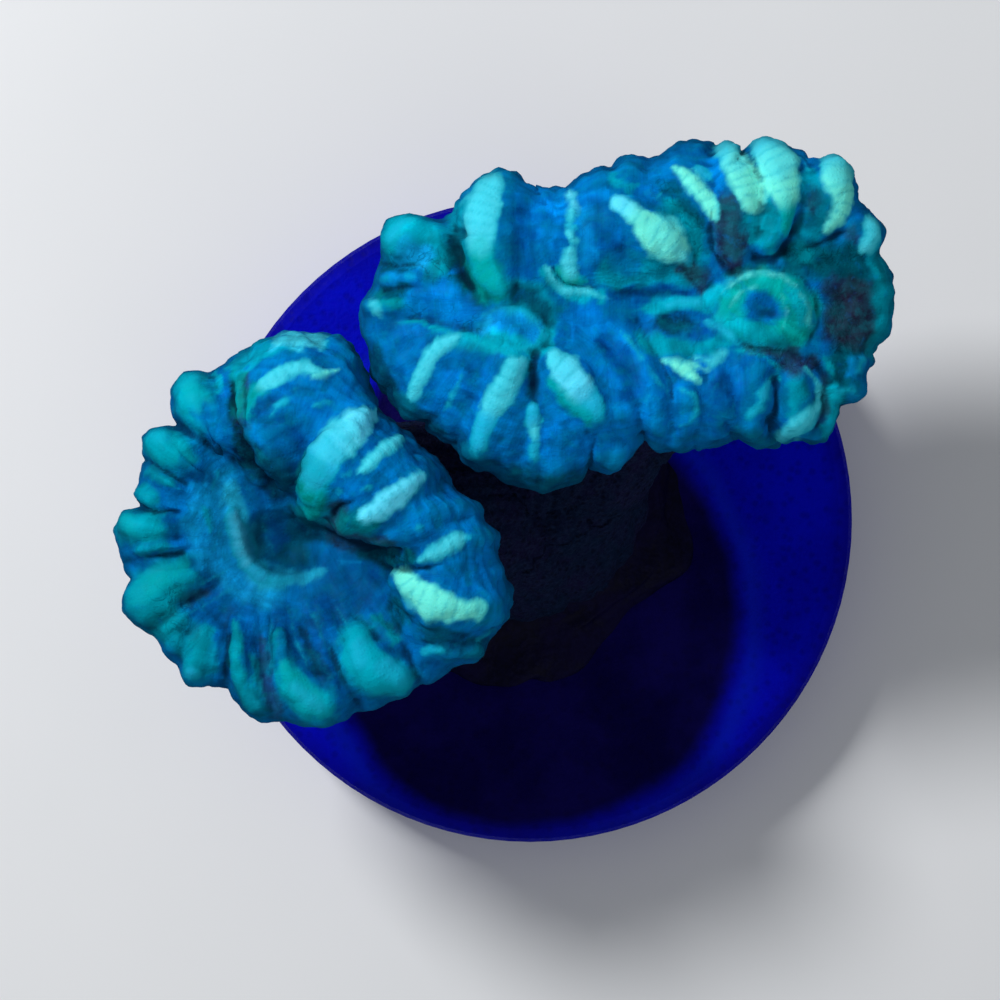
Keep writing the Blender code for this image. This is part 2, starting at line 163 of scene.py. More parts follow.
RIGHT_FOLDS = [Fold(*row) for row in [
    ("tongue", -5.8, 1.3, -5.8, 6.9, 2.9, 0.1, 0.3),
    ("flank", -3.7, 1.2, -4, 6.5, 2.5),
    ("flank", -2.3, 1.3, -2.4, 6.2, 1.2, 0, 0.15),
    ("flank", -1, 0.8, -0.9, 6.9, 2.7),
    ("flank", 0.6, 0.8, 0.6, 7.5, 2.5),
    ("flank", 2.5, 1.1, 2.1, 8, 2.5, -0.2),
    ("tongue", 2.9, 2.8, 0.1, 5.6, 1.3, 0, 0.1),
    ("mass", 3.9, 1.9, 3.6, 8.1, 1.9, -0.7),
    ("tongue", 4.9, 2.2, 4.7, 8.2, 2.4, -0.9, 0.1),
    ("tongue", 7, 3.2, 6.5, 8.4, 2.5, -1.2, 0.3),
    ("tongue", 8.3, 3.7, 8.4, 7.2, 1.3, -0.3),
    ("tongue", 9, 3.9, 9.8, 7.3, 1.9, -0.6, 0.1),
    ("lobe", 8.2, 2.9, 11.8, 4.2, 1.8, -0.2, 0.2),
    ("flank", 8.3, 1.9, 12.1, 2.2, 2.5),
    ("flank", 8.6, 0.5, 12.3, 0.4, 2.5),
    ("flank", 8.4, -0.8, 11.8, -1.3, 2.3),
    ("lobe", 8.2, -1.4, 11, -2.8, 1.4),
    ("lobe", 8, -1.8, 10.5, -3.8, 1.3),
    ("lobe", 7.8, -2.2, 9.7, -4.9, 1.4),
    ("tongue", 7.1, -1.5, 7.7, -5.5, 2.8, 0.4),
    ("mass", 5.6, -1.9, 5.5, -5.5, 2.1),
    ("mass", 4, -2.2, 4.1, -5.7, 2),
    ("tongue", 2.6, -2.1, 3, -5.9, 1.5),
    ("flank", -0.4, -0.5, 1.7, -5.9, 2.9, 0.4, 0.2),
    ("tongue", -3.3, -1.3, -0.8, -4.9, 2.2, 0.3, 0.2),
    ("lobe", -1.4, -3.4, -0.3, -6.8, 2, 0.2, -0.5),
    ("lobe", -2.6, -3.6, -2.2, -7.5, 1.9, 0, -0.6),
    ("pleat", -3.9, -3.2, -4, -7.5, 1, 0, -0.3),
    ("tongue", -4.3, -1.2, -6.3, -6.6, 2.3, 0.1, 0.1),
    ("lobe", -5.1, -3.8, -5.2, -7.6, 1.9, 0.1, -0.7),
    ("mass", -5.7, -0.9, -8, -5.6, 2.1),
    ("mass", -6.9, -0.8, -9.5, -4.4, 2.1, 0, 0.1),
    ("mass", -7.6, -0.5, -10.7, -3, 2.1, 0.1),
    ("lobe", -7, 0.2, -11.2, -1.3, 1.8),
    ("lobe", -6.8, 0.9, -11.8, 0.6, 1.7),
    ("pleat", -6.8, 1.6, -10.6, 1.9, 1.2),
    ("pleat", -6.8, 2.1, -10.6, 3, 1.2),
    ("lobe", -6.9, 2.6, -10.6, 4.8, 2.7),
    ("pleat", -6.8, 3, -8.4, 5.2, 1.4),
]]

# The heads' outlines from above.
LEFT_OUTLINE = [
    (-9.3, -0.35), (-9, 0.6), (-8.35, 0.75), (-8.45, 1.2), (-8.15, 1.85), (-8.05, 2.15), (-7.95, 2.65),
    (-8.05, 3.25), (-8.05, 3.95), (-7.65, 4.35), (-7.15, 4.45), (-6.4, 4.5), (-6.75, 5.1), (-6.65, 6.3),
    (-6.1, 6.95), (-5.4, 7.15), (-4.9, 7.05), (-4.2, 7.35), (-3.45, 7.75), (-2.75, 8.25), (-2.05, 8.45),
    (-1.1, 8.75), (-0.5, 8.85), (0.2, 8.65), (1.05, 8.5), (1.65, 8.15), (2.15, 7.25), (2.45, 6.3),
    (2.9, 5.1), (3.9, 4.35), (4.9, 3.45), (5.95, 2.45), (6.45, 1.5), (7.5, 0.8), (7.9, 0), (8.4, -0.55),
    (8.4, -1.25), (8.6, -1.85), (8.9, -2.9), (9.05, -3.5), (8.8, -4.3), (8.3, -4.95), (8.2, -5.25),
    (7.8, -5.65), (7.8, -6.05), (7.15, -6.45), (6.35, -6.65), (5.85, -7.05), (5.25, -7.5), (4.5, -7.6),
    (4.2, -8), (3.5, -8.2), (2.75, -8.5), (1.85, -8.7), (1.35, -9.1), (0.65, -9.3), (0, -9.35),
    (-0.7, -9.3), (-1.3, -9.1), (-1.85, -9.2), (-2.55, -9.3), (-3.15, -9), (-3.55, -8.4), (-4.05, -7.7),
    (-4.9, -7.5), (-5.8, -7.5), (-6.2, -7.05), (-6.4, -6.55), (-7.05, -6.05), (-7.35, -5.35),
    (-7.75, -5.15), (-8.35, -4.7), (-8.9, -4.1), (-9, -3.4), (-8.55, -2.6), (-9, -1.85), (-9.1, -1.05),
]
RIGHT_OUTLINE = [
    (-11.95, 0.5), (-11.85, 1.2), (-11.35, 1.7), (-11.1, 2.45), (-11, 3.05), (-11, 4.15), (-10.7, 5),
    (-9.9, 5.3), (-9, 5), (-8.45, 4.8), (-7.65, 5.1), (-7.25, 5.7), (-6.85, 6.3), (-6.4, 6.85),
    (-5.8, 7.15), (-5, 7.05), (-4.4, 6.6), (-3.55, 6.4), (-3.15, 6.25), (-2.85, 6.4), (-2.45, 6.3),
    (-1.8, 6.85), (-0.9, 7.25), (-0.4, 7.25), (0.1, 7.75), (0.65, 7.8), (1.35, 7.65), (2.15, 7.95),
    (2.55, 8.3), (3.7, 8.4), (4.4, 8.25), (5.25, 8.3), (5.65, 8.15), (6.25, 8.5), (7.05, 8.5), (7.6, 8.15),
    (8.2, 7.85), (8.7, 7.45), (9.3, 7.55), (10.05, 7.6), (10.65, 6.95), (10.85, 5.6), (11.65, 5.1),
    (12.2, 4.7), (12.3, 4.05), (12, 3.35), (12.4, 2.55), (12.6, 1.5), (12.5, 0.6), (12.3, -0.35),
    (11.85, -0.85), (11.55, -1.35), (11.65, -1.65), (11.35, -2.25), (11.3, -3.2), (10.75, -3.65),
    (10.25, -3.8), (10.05, -4.4), (9.85, -4.95), (9.5, -5.45), (8.9, -5.45), (8.3, -5.15), (7.6, -5.35),
    (6.85, -5.6), (6.25, -5.65), (5.65, -5.15), (5.15, -5.25), (4.2, -5.55), (3.5, -5.45), (2.7, -5.75),
    (1.65, -5.65), (1.05, -4.95), (0.65, -5.85), (0.1, -6.55), (-0.4, -6.85), (-1.1, -6.65), (-1.5, -6.55),
    (-1.8, -7.1), (-2.45, -7.4), (-3.55, -7.7), (-4.4, -7.5), (-5.2, -7.3), (-5.8, -6.85), (-6.5, -6.65),
    (-7.15, -6.15), (-7.55, -5.45), (-8.15, -5.25), (-8.55, -4.85), (-9.1, -4.35), (-9.9, -4.3),
    (-10.3, -3.9), (-10.6, -3.1), (-11.1, -2.6), (-11.35, -1.95), (-11.55, -1.05), (-11.85, -0.45),
]

# A brush stroke that shapes the skin: a fold stands round, a hump swells softly, a groove cuts in and a
# hole drops steeply. It runs through points of (x, y, half width), as the washes and the stripes do.
Brush = namedtuple("Brush", "kind height points")
# A wash of colour over the skin. A later one lies over those before it. The navy and dusk washes are painted
# shade in grooves, crevices, under overhangs and along the low rims; the weak turquoise washes on the left
# head's lobes and the pale and aqua ones along its top rim are painted highlights.
Wash = namedtuple("Wash", "colour strength points")
# A pale, beaded stripe along a fold, or a painted highlight on a lobe's top.
Stripe = namedtuple("Stripe", "colour strength points")


def strokes(kind, *rows):
    """Rows of what a stroke is, its height or strength, and its points, as strokes of that kind."""
    return [kind(what, strength, points) for what, strength, *points in rows]


LEFT_BRUSHES = strokes(
    Brush,
    ("fold", 0.5, (-1.3, 7.4, 1.6), (-1.3, 6, 2.1), (-1.2, 4.6, 2.2), (-1.2, 3.4, 1.9), (-1.3, 2.4, 1.2)),
    ("fold", 0.21, (-3.4, 6.7, 0.25), (-3.3, 5.6, 0.28), (-3.35, 4.8, 0.22)),
    ("fold", 0.5, (-0.1, 0.9, 1), (0.1, 1.9, 1.3), (0.9, 3.1, 1.4), (1.8, 4.1, 1.25), (2.6, 5, 0.9)),
    ("fold", 0.2, (1.6, 1.4, 0.8), (2.6, 2.6, 1.1), (3.6, 3.7, 1.1), (4.4, 4.5, 0.8)),
    ("fold", 0.4, (1.6, 0.1, 0.7), (2.6, 0.4, 1), (3.6, 1.1, 1.1), (4.7, 2.2, 1.1), (5.3, 3, 0.8)),
    ("fold", 0.25, (3.4, -0.5, 0.8), (4.8, 0.1, 1.1), (6.2, 1, 1.1), (7, 1.6, 0.9)),
    ("fold", 0.32, (4.6, -1.6, 0.5), (5.6, -1.2, 0.85), (6.8, -0.6, 1), (7.8, -0.3, 0.8)),
    ("fold", 0.5, (4.1, -2.6, 0.6), (4.6, -3, 1), (5.4, -3.4, 1.3), (6.4, -3.7, 1.3), (7.6, -3.8, 1.1)),
    ("fold", 0.2, (6.6, -2, 1), (7.8, -2.1, 1.1)),
    ("fold", 0.21, (5, -5, 0.4), (6.4, -5, 0.5), (7.6, -5, 0.4)),
    ("fold", 0.4, (5.3, -5.9, 0.5), (6.2, -5.9, 0.4), (7.3, -5.8, 0.4)),
    ("fold", 0.6, (2, -5.3, 0.85), (2.1, -6.2, 1.05), (2.9, -6.9, 1.1), (3.7, -7.1, 0.95)),
    ("fold", 0.3, (2.7, -4.5, 0.25), (3.3, -5, 0.28), (3.9, -5.5, 0.25)),
    ("fold", 0.55, (-1.6, -5.2, 0.45), (-1.4, -6.4, 0.6), (-0.9, -7.5, 0.8), (-0.2, -8.2, 0.9),
     (0.3, -8.5, 0.8)),
    ("fold", 0.4, (-3.6, -4.6, 0.25), (-3.5, -5.9, 0.4), (-3.3, -7.2, 0.55), (-2.8, -8.3, 0.55)),
    ("fold", 0.35, (-2.8, -6, 0.15), (-2.6, -7.2, 0.2), (-2.4, -8.4, 0.3)),
    ("fold", 0.18, (-2.35, -4.2, 0.12), (-2.25, -6, 0.12), (-2.15, -7.4, 0.12)),
    ("fold", 0.18, (-0.95, -4, 0.12), (-0.5, -5.6, 0.14), (0.1, -6.5, 0.12)),
    ("fold", 0.18, (0.1, -3.6, 0.12), (0.5, -5.4, 0.14), (1.1, -7, 0.14), (1.8, -8, 0.2)),
    ("fold", 0.18, (-3.1, -3.4, 0.12), (-2.8, -4.8, 0.12)),
    ("fold", 0.4, (-5, -4.9, 0.5), (-5.4, -5.8, 0.65), (-5.6, -6.7, 0.6)),
    ("fold", 0.35, (-4.4, -5.2, 0.25), (-4.5, -6.5, 0.35)),
    ("fold", 0.6, (-5.6, -2.2, 0.7), (-6.6, -2.8, 1.25), (-7.4, -3.5, 1.35)),
    ("fold", 0.5, (-6, -4.2, 0.5), (-6.7, -4.7, 0.55)),
    ("fold", 0.4, (-6.3, -5.4, 0.4), (-6.5, -5.6, 0.4)),
    ("fold", 0.35, (-8.1, -1.25, 0.2), (-7, -1.1, 0.2), (-6, -1.1, 0.12)),
    ("fold", 0.6, (-8.4, 0, 0.75), (-7.7, -0.2, 0.75), (-7, -0.3, 0.6)),
    ("fold", 0.55, (-7.8, 1.3, 0.4), (-7.3, 1, 0.35)),
    ("fold", 0.4, (-7.3, 2.3, 0.3), (-6.5, 1.8, 0.25), (-5.8, 1.4, 0.12)),
    ("fold", 0.6, (-7, 3.6, 0.8), (-6.3, 3.1, 1), (-5.5, 2.6, 0.7)),
    ("fold", 0.6, (-5.6, 6.1, 0.9), (-5.2, 5.2, 1.15), (-4.7, 4.3, 1), (-4.2, 3.6, 0.6)),
    ("fold", 0.36, (-3.9, 0.3, 0.26), (-3.5, -0.6, 0.32), (-3.1, -1.5, 0.32), (-2.6, -2.3, 0.28),
     (-1.9, -2.7, 0.22), (-1.2, -2.6, 0.16)),
    ("fold", 0.3, (-2, 0.2, 0.45), (-1.9, -0.5, 0.55), (-1.8, -1.1, 0.4)),
    ("hump", 0.3, (0, -1.3, 0.6), (0.2, -1.3, 0.6)),
    ("hump", 0.25, (2.4, -4.2, 0.4), (2.6, -4.3, 0.4)),
    ("hump", 0.2, (1.3, -3.2, 0.4), (1.5, -3.3, 0.4)),
    ("hole", 0.9, (-1.9, -0.9, 1.5), (-1.4, -1, 1.6), (-0.9, -1, 1.4)),
    ("groove", 0.7, (-3.75, 6.5, 0.14), (-3.7, 5.3, 0.2), (-3.5, 4.5, 0.26), (-3.2, 3.6, 0.34),
     (-2.7, 2.7, 0.4), (-2.1, 2, 0.45), (-1.6, 1.6, 0.45)),
    ("groove", 0.35, (-3.05, 6.4, 0.13), (-3.05, 5.2, 0.13), (-3, 4.4, 0.16)),
    ("groove", 0.5, (0.95, 0.4, 0.2), (1.3, 0.8, 0.2), (1.9, 1, 0.13)),
    ("groove", 0.7, (0.3, -0.2, 0.3), (1, -0.8, 0.32), (2, -1.1, 0.32), (3, -1.2, 0.32), (3.9, -1.3, 0.3)),
    ("groove", 0.4, (2.4, -1.5, 0.14), (3, -1.9, 0.16), (3.6, -2.15, 0.18), (4.6, -2.05, 0.16),
     (5.2, -2, 0.16), (5.8, -1.75, 0.12)),
    ("groove", 0.3, (-6.4, 4.6, 0.3), (-5.5, 4, 0.22), (-4.6, 3.4, 0.16)),
    ("groove", 0.2, (-7.6, -4.9, 0.35), (-6.6, -4.2, 0.2), (-5.6, -3.4, 0.2)),
    ("groove", 0.25, (4.8, -7.6, 0.3), (4.4, -6.4, 0.25), (4, -5.5, 0.15)),
    ("groove", 0.16, (-4.3, -2.6, 0.14), (-5.2, -3.3, 0.22), (-6, -3.6, 0.25)),
    ("groove", 0.2, (-2.5, -5, 0.14), (-2.4, -7, 0.18), (-2, -8.6, 0.25)),
    ("groove", 0.16, (-0.7, -4.8, 0.14), (-0.2, -6, 0.14), (0.3, -7, 0.16)),
    ("groove", 0.12, (-2.7, 4.6, 0.12), (-1.8, 5.4, 0.12), (-0.6, 6, 0.12), (0.6, 6, 0.12)),
    ("groove", 0.12, (-2.7, 3.9, 0.12), (-1.7, 4.7, 0.12), (-0.4, 5.1, 0.12)),
    ("groove", 0.12, (-2.5, 3.3, 0.12), (-1.6, 4, 0.12), (-0.5, 4.4, 0.12)),
    ("fold", 0.14, (-1.7, -3.6, 0.12), (-1.8, -5, 0.14), (-1.9, -6.6, 0.14)),
    ("fold", 0.14, (1, -3.5, 0.12), (1.5, -4.3, 0.14), (1.7, -5, 0.12)),
    ("fold", 0.14, (-4, -3.2, 0.12), (-4.6, -4, 0.14), (-5.6, -4.8, 0.14)),
    ("fold", 0.14, (-4.6, -2.4, 0.12), (-5.4, -2.8, 0.14), (-6.2, -3.4, 0.12)),
    ("groove", 0.22, (-2.75, -5.2, 0.12), (-2.7, -6.4, 0.14), (-2.6, -7.4, 0.12)),
    ("groove", 0.2, (-1.75, -4.4, 0.12), (-1.85, -5.6, 0.14), (-2, -7, 0.14)),
    ("groove", 0.2, (0.1, -4.6, 0.12), (0.7, -6, 0.14), (1.4, -7.4, 0.16)),
    ("groove", 0.2, (-3.9, -4.2, 0.12), (-4.3, -5.4, 0.14), (-4.6, -6.6, 0.14)),
    ("groove", 0.2, (-4.7, -3.9, 0.12), (-5.4, -4.6, 0.14), (-6, -5.2, 0.14)),
    ("groove", 0.2, (1.6, -4.2, 0.12), (2.3, -4.7, 0.14), (2.9, -5.4, 0.14)),
    ("groove", 0.36, (-8.4, 0.9, 0.32), (-7.2, 0.5, 0.24), (-6.2, 0.4, 0.15)),
    ("groove", 0.38, (-8.7, -1.8, 0.32), (-7.4, -1.6, 0.22), (-6, -1.4, 0.15)),
    ("groove", 0.38, (-7.9, 2.8, 0.32), (-6.8, 2.4, 0.24), (-5.8, 1.8, 0.2)),
    ("groove", 0.38, (2, -8.4, 0.37), (1.2, -7, 0.27), (0.7, -5.6, 0.15)),
    ("groove", 0.34, (-4.2, -7.6, 0.32), (-4.1, -6.4, 0.2), (-3.9, -5.2, 0.15)),
)

RIGHT_BRUSHES = strokes(
    Brush,
    ("fold", 0.75, (-9.8, 3.9, 1.15), (-9.6, 4, 1.1)),
    ("fold", 0.45, (-8.5, 3.8, 0.8), (-8.2, 4, 0.8)),
    ("fold", 0.17, (-10.6, 2.2, 0.4), (-9.6, 2.1, 0.4), (-8.6, 2, 0.4)),
    ("fold", 0.5, (-11.3, 0.8, 0.5), (-10.4, 0.8, 0.5), (-9.6, 0.9, 0.35)),
    ("fold", 0.17, (-9.6, 1.2, 0.4), (-8.6, 1.3, 0.5), (-7.7, 1.3, 0.4)),
    ("fold", 0.8, (-5.4, 6.2, 1.4), (-5.7, 4.8, 1.65), (-5.8, 3.4, 1.5), (-5.7, 2.4, 1.15),
     (-5.4, 1.7, 0.7)),
    ("fold", 0.3, (-4.2, 5.4, 1.8), (-4, 3.6, 1.9), (-4, 2.4, 1.5)),
    ("fold", 0.12, (-2.25, 6, 0.5), (-2.25, 4.2, 0.6), (-2.3, 3, 0.7), (-2.35, 2.2, 0.7)),
    ("fold", 0.25, (-0.9, 6.3, 1), (-0.9, 4.8, 1.1), (-0.9, 3.2, 1)),
    ("fold", 0.5, (-0.1, 5.2, 0.9), (0.7, 4.6, 1.1), (1.3, 4.1, 1.3), (1.9, 3.6, 1.3), (2.6, 3.1, 0.7)),
    ("fold", 0.28, (0.6, 7, 1), (0.4, 6.2, 0.8)),
    ("fold", 0.28, (1.6, 6.9, 0.9), (1.6, 5.9, 0.7)),
    ("fold", 0.15, (2.4, 5.3, 0.6), (3, 4.6, 0.7), (3.4, 3.8, 0.5)),
    ("fold", 0.25, (2.6, 7.1, 0.65), (3.3, 6.3, 0.65), (3.9, 5.4, 0.55), (4.1, 4.7, 0.35)),
    ("fold", 0.15, (3.6, 7.4, 0.8), (3.9, 7, 0.7)),
    ("fold", 0.6, (5, 7.5, 0.95), (5.3, 6.3, 1.05), (5.2, 5, 1.1), (5.1, 3.8, 1.05), (5.15, 2.9, 0.7)),
    ("fold", 0.7, (6.7, 7.8, 0.95), (7.1, 6.6, 1.05), (7.2, 5.3, 0.95), (6.9, 4.2, 0.85), (6.6, 3.6, 0.6)),
    ("fold", 0.7, (9.6, 6.6, 0.9), (9.5, 5.6, 1.05), (9.1, 4.7, 1)),
    ("fold", 0.4, (10.5, 4.2, 0.9), (11.3, 3.9, 0.75)),
    ("fold", 0.17, (3.3, 2.6, 0.45), (3.6, 2, 0.35), (3.7, 1.6, 0.2)),
    ("hump", 0.2, (0, 2.2, 0.4), (1.5, 2.4, 0.4), (3, 2.3, 0.35)),
    ("hump", 0.3, (2, 0.8, 0.4), (3.4, 0.8, 0.4), (4, 0.9, 0.35)),
    ("fold", 0.25, (1.8, -0.3, 0.8), (2.8, -0.4, 1.1), (3.9, -0.5, 1), (4.7, -0.7, 0.8)),
    ("fold", 0.12, (-3.4, 2.3, 0.25), (-2.8, 1.6, 0.3), (-2.2, 1.35, 0.32), (-1.4, 1.4, 0.3),
     (-0.7, 1.05, 0.2)),
    ("fold", 0.28, (5.1, 0.3, 0.9), (5.4, 1.4, 0.8), (6.4, 1.8, 0.8), (7.5, 1.5, 0.9), (8, 0.6, 1),
     (7.7, -0.3, 0.8), (6.5, -0.5, 0.5), (5.5, -0.2, 0.6), (5.1, 0.3, 0.9)),
    ("hump", 0.15, (-9.8, -0.4, 0.8), (-8.6, -0.8, 0.9), (-7.4, -1, 0.9), (-6.2, -1.3, 0.9),
     (-5, -1.7, 0.8)),
    ("groove", 0.12, (-9.6, 0.25, 0.3), (-8.4, -0.05, 0.35), (-7.2, -0.2, 0.35), (-6, -0.5, 0.3)),
    ("fold", 0.17, (-10.3, -1.2, 0.8), (-10.5, -2, 0.6)),
    ("fold", 0.42, (-8.1, -1.1, 0.9), (-8.9, -2.1, 1.1), (-9.4, -3, 1), (-9.6, -3.6, 0.9)),
    ("fold", 0.28, (-7, -1.6, 0.9), (-7.6, -3, 1.1), (-8, -4.2, 1.1)),
    ("fold", 0.55, (-4.9, -2, 1), (-5.6, -3.2, 1.2), (-6.2, -4.5, 1.2), (-6.4, -5.3, 1)),
    ("fold", 0.2, (-3.95, -3.9, 0.35), (-3.95, -4.8, 0.4), (-4, -6, 0.4)),
    ("fold", 0.17, (-5, -4.6, 0.5), (-5.1, -6, 0.6)),
    ("fold", 0.17, (-3.1, -4.9, 0.6), (-3, -6.4, 0.7)),
    ("fold", 0.17, (-2.1, -4.6, 0.3), (-2, -5.6, 0.45)),
    ("fold", 0.72, (-3, -1.9, 0.9), (-2.3, -2.5, 1.15), (-1.7, -3.2, 1.15), (-1.1, -3.9, 0.9)),
    ("fold", 0.2, (-0.8, -4.6, 0.65), (-0.6, -4.7, 0.6)),
    ("fold", 0.45, (-2.2, -1.2, 0.4), (-1, -1.6, 0.7), (-0.2, -2.6, 0.8), (0.1, -3.8, 0.8)),
    ("fold", 0.38, (0.1, -0.9, 0.5), (0.9, -2, 0.7), (1.3, -3.2, 0.8), (1.5, -4.4, 0.7)),
    ("fold", 0.2, (-0.1, -5.8, 0.5), (-0.3, -6.3, 0.45)),
    ("fold", 0.2, (-0.9, -5.9, 0.4), (-1.1, -6, 0.4)),
    ("fold", 0.2, (2.6, -5.3, 0.5), (2.8, -5.3, 0.45)),
    ("fold", 0.23, (2.2, -1.8, 0.25), (2.9, -2.1, 0.4), (3.4, -2.5, 0.3)),
    ("fold", 0.2, (2.8, -1.75, 0.2), (3.6, -2, 0.35), (4.3, -1.6, 0.35)),
    ("fold", 0.35, (2.9, -3.2, 0.5), (3.1, -4.1, 0.6), (2.9, -4.6, 0.5)),
    ("fold", 0.38, (4.6, -2.6, 0.7), (4.5, -4.4, 0.8)),
    ("fold", 0.48, (6, -2.1, 0.8), (5.9, -3.4, 0.9), (5.8, -4.6, 0.8)),
    ("fold", 0.52, (7.9, -2.5, 0.7), (8, -3.5, 0.8), (7.7, -4.6, 0.7)),
    ("fold", 0.12, (5.4, -1.3, 0.15), (6.5, -1.5, 0.16), (7, -2, 0.16), (7.4, -2.6, 0.14),
     (8, -2.7, 0.12)),
    ("fold", 0.17, (9.5, -2.2, 0.3), (9.7, -3.4, 0.35), (9.5, -4.6, 0.35)),
    ("fold", 0.17, (10.6, -1.8, 0.4), (10.9, -2, 0.4)),
    ("fold", 0.17, (10.1, -3.1, 0.3), (10.7, -3.3, 0.35)),
    ("fold", 0.1, (11.8, 2.2, 0.35), (11.9, 1, 0.35), (11.8, 0, 0.35)),
    ("groove", 0.16, (-6.4, -0.2, 0.12), (-6.1, 0.4, 0.16), (-5.3, 0.8, 0.16), (-4.3, 0.75, 0.16),
     (-3.5, 0.3, 0.16), (-3.2, -0.5, 0.16), (-3.5, -1.1, 0.12)),
    ("hump", 0.2, (-5.3, -0.2, 1), (-4.4, -0.3, 1.1), (-4, -0.5, 0.9)),
    ("hump", -0.3, (6.4, 0.6, 0.9), (6.7, 0.5, 0.8)),
    ("groove", 0.55, (-7.5, 2.6, 0.35), (-7.2, 2.1, 0.4), (-6.8, 1.6, 0.3)),
    ("groove", 0.55, (-7.7, 4.4, 0.18), (-7.65, 3.6, 0.24), (-7.3, 2.9, 0.3)),
    ("groove", 0.35, (-10.8, 1.5, 0.14), (-10, 1.7, 0.16), (-9, 1.7, 0.1)),
    ("groove", 0.35, (-10.9, 2.8, 0.16), (-10.2, 2.6, 0.2), (-9.4, 2.7, 0.12)),
    ("groove", 0.3, (-0.2, 1.4, 0.22), (1.5, 1.35, 0.3), (3, 1.35, 0.22)),
    ("groove", 0.35, (-3.1, 2.5, 0.13), (-2.6, 1.8, 0.13), (-1.9, 1.65, 0.13), (-1.1, 1.6, 0.12)),
    ("groove", 0.3, (0.7, 0.2, 0.13), (1.3, -1, 0.16), (1.8, -1.7, 0.16), (2.2, -2.6, 0.16),
     (2.3, -3.4, 0.13)),
    ("groove", 0.3, (-3.95, -1.3, 0.12), (-3.95, -2.4, 0.2), (-4, -3.6, 0.25)),
    ("groove", 0.3, (7, -2.4, 0.16), (7, -3.6, 0.2), (6.8, -4.9, 0.2)),
    ("groove", 0.25, (8.6, -1.5, 0.16), (9.3, -2.3, 0.2), (9.3, -3.4, 0.2), (9.1, -4.4, 0.2),
     (8.7, -4.9, 0.2)),
    ("groove", 0.25, (5.5, -1, 0.12), (6.6, -1.15, 0.14), (7.6, -1.3, 0.14), (8.4, -1.6, 0.12)),
    ("groove", 0.5, (5.9, 2.95, 0.16), (6.8, 2.85, 0.22), (7.3, 3.3, 0.2), (7.8, 4.3, 0.14)),
    ("groove", 0.45, (8.3, 3.4, 0.14), (8.8, 3.5, 0.16), (9.4, 3.95, 0.18), (10.1, 4.2, 0.14)),
    ("groove", 0.4, (4.1, 5, 0.14), (4, 4.2, 0.16), (4.1, 3.3, 0.18), (4.6, 2.7, 0.18), (5, 2.3, 0.14)),
    ("groove", 0.3, (2.7, 2.6, 0.13), (3.2, 2, 0.14), (3.7, 1.45, 0.14), (4.2, 2, 0.14)),
    ("groove", 0.25, (4.8, 2.2, 0.12), (5.6, 2.5, 0.14), (7, 2.5, 0.14), (8.2, 2.1, 0.14),
     (8.9, 1.2, 0.14), (9, 0, 0.14), (8.5, -0.9, 0.12)),
    ("hump", -0.4, (10.2, 0.8, 1.8), (10.4, 0.2, 1.8)),
)

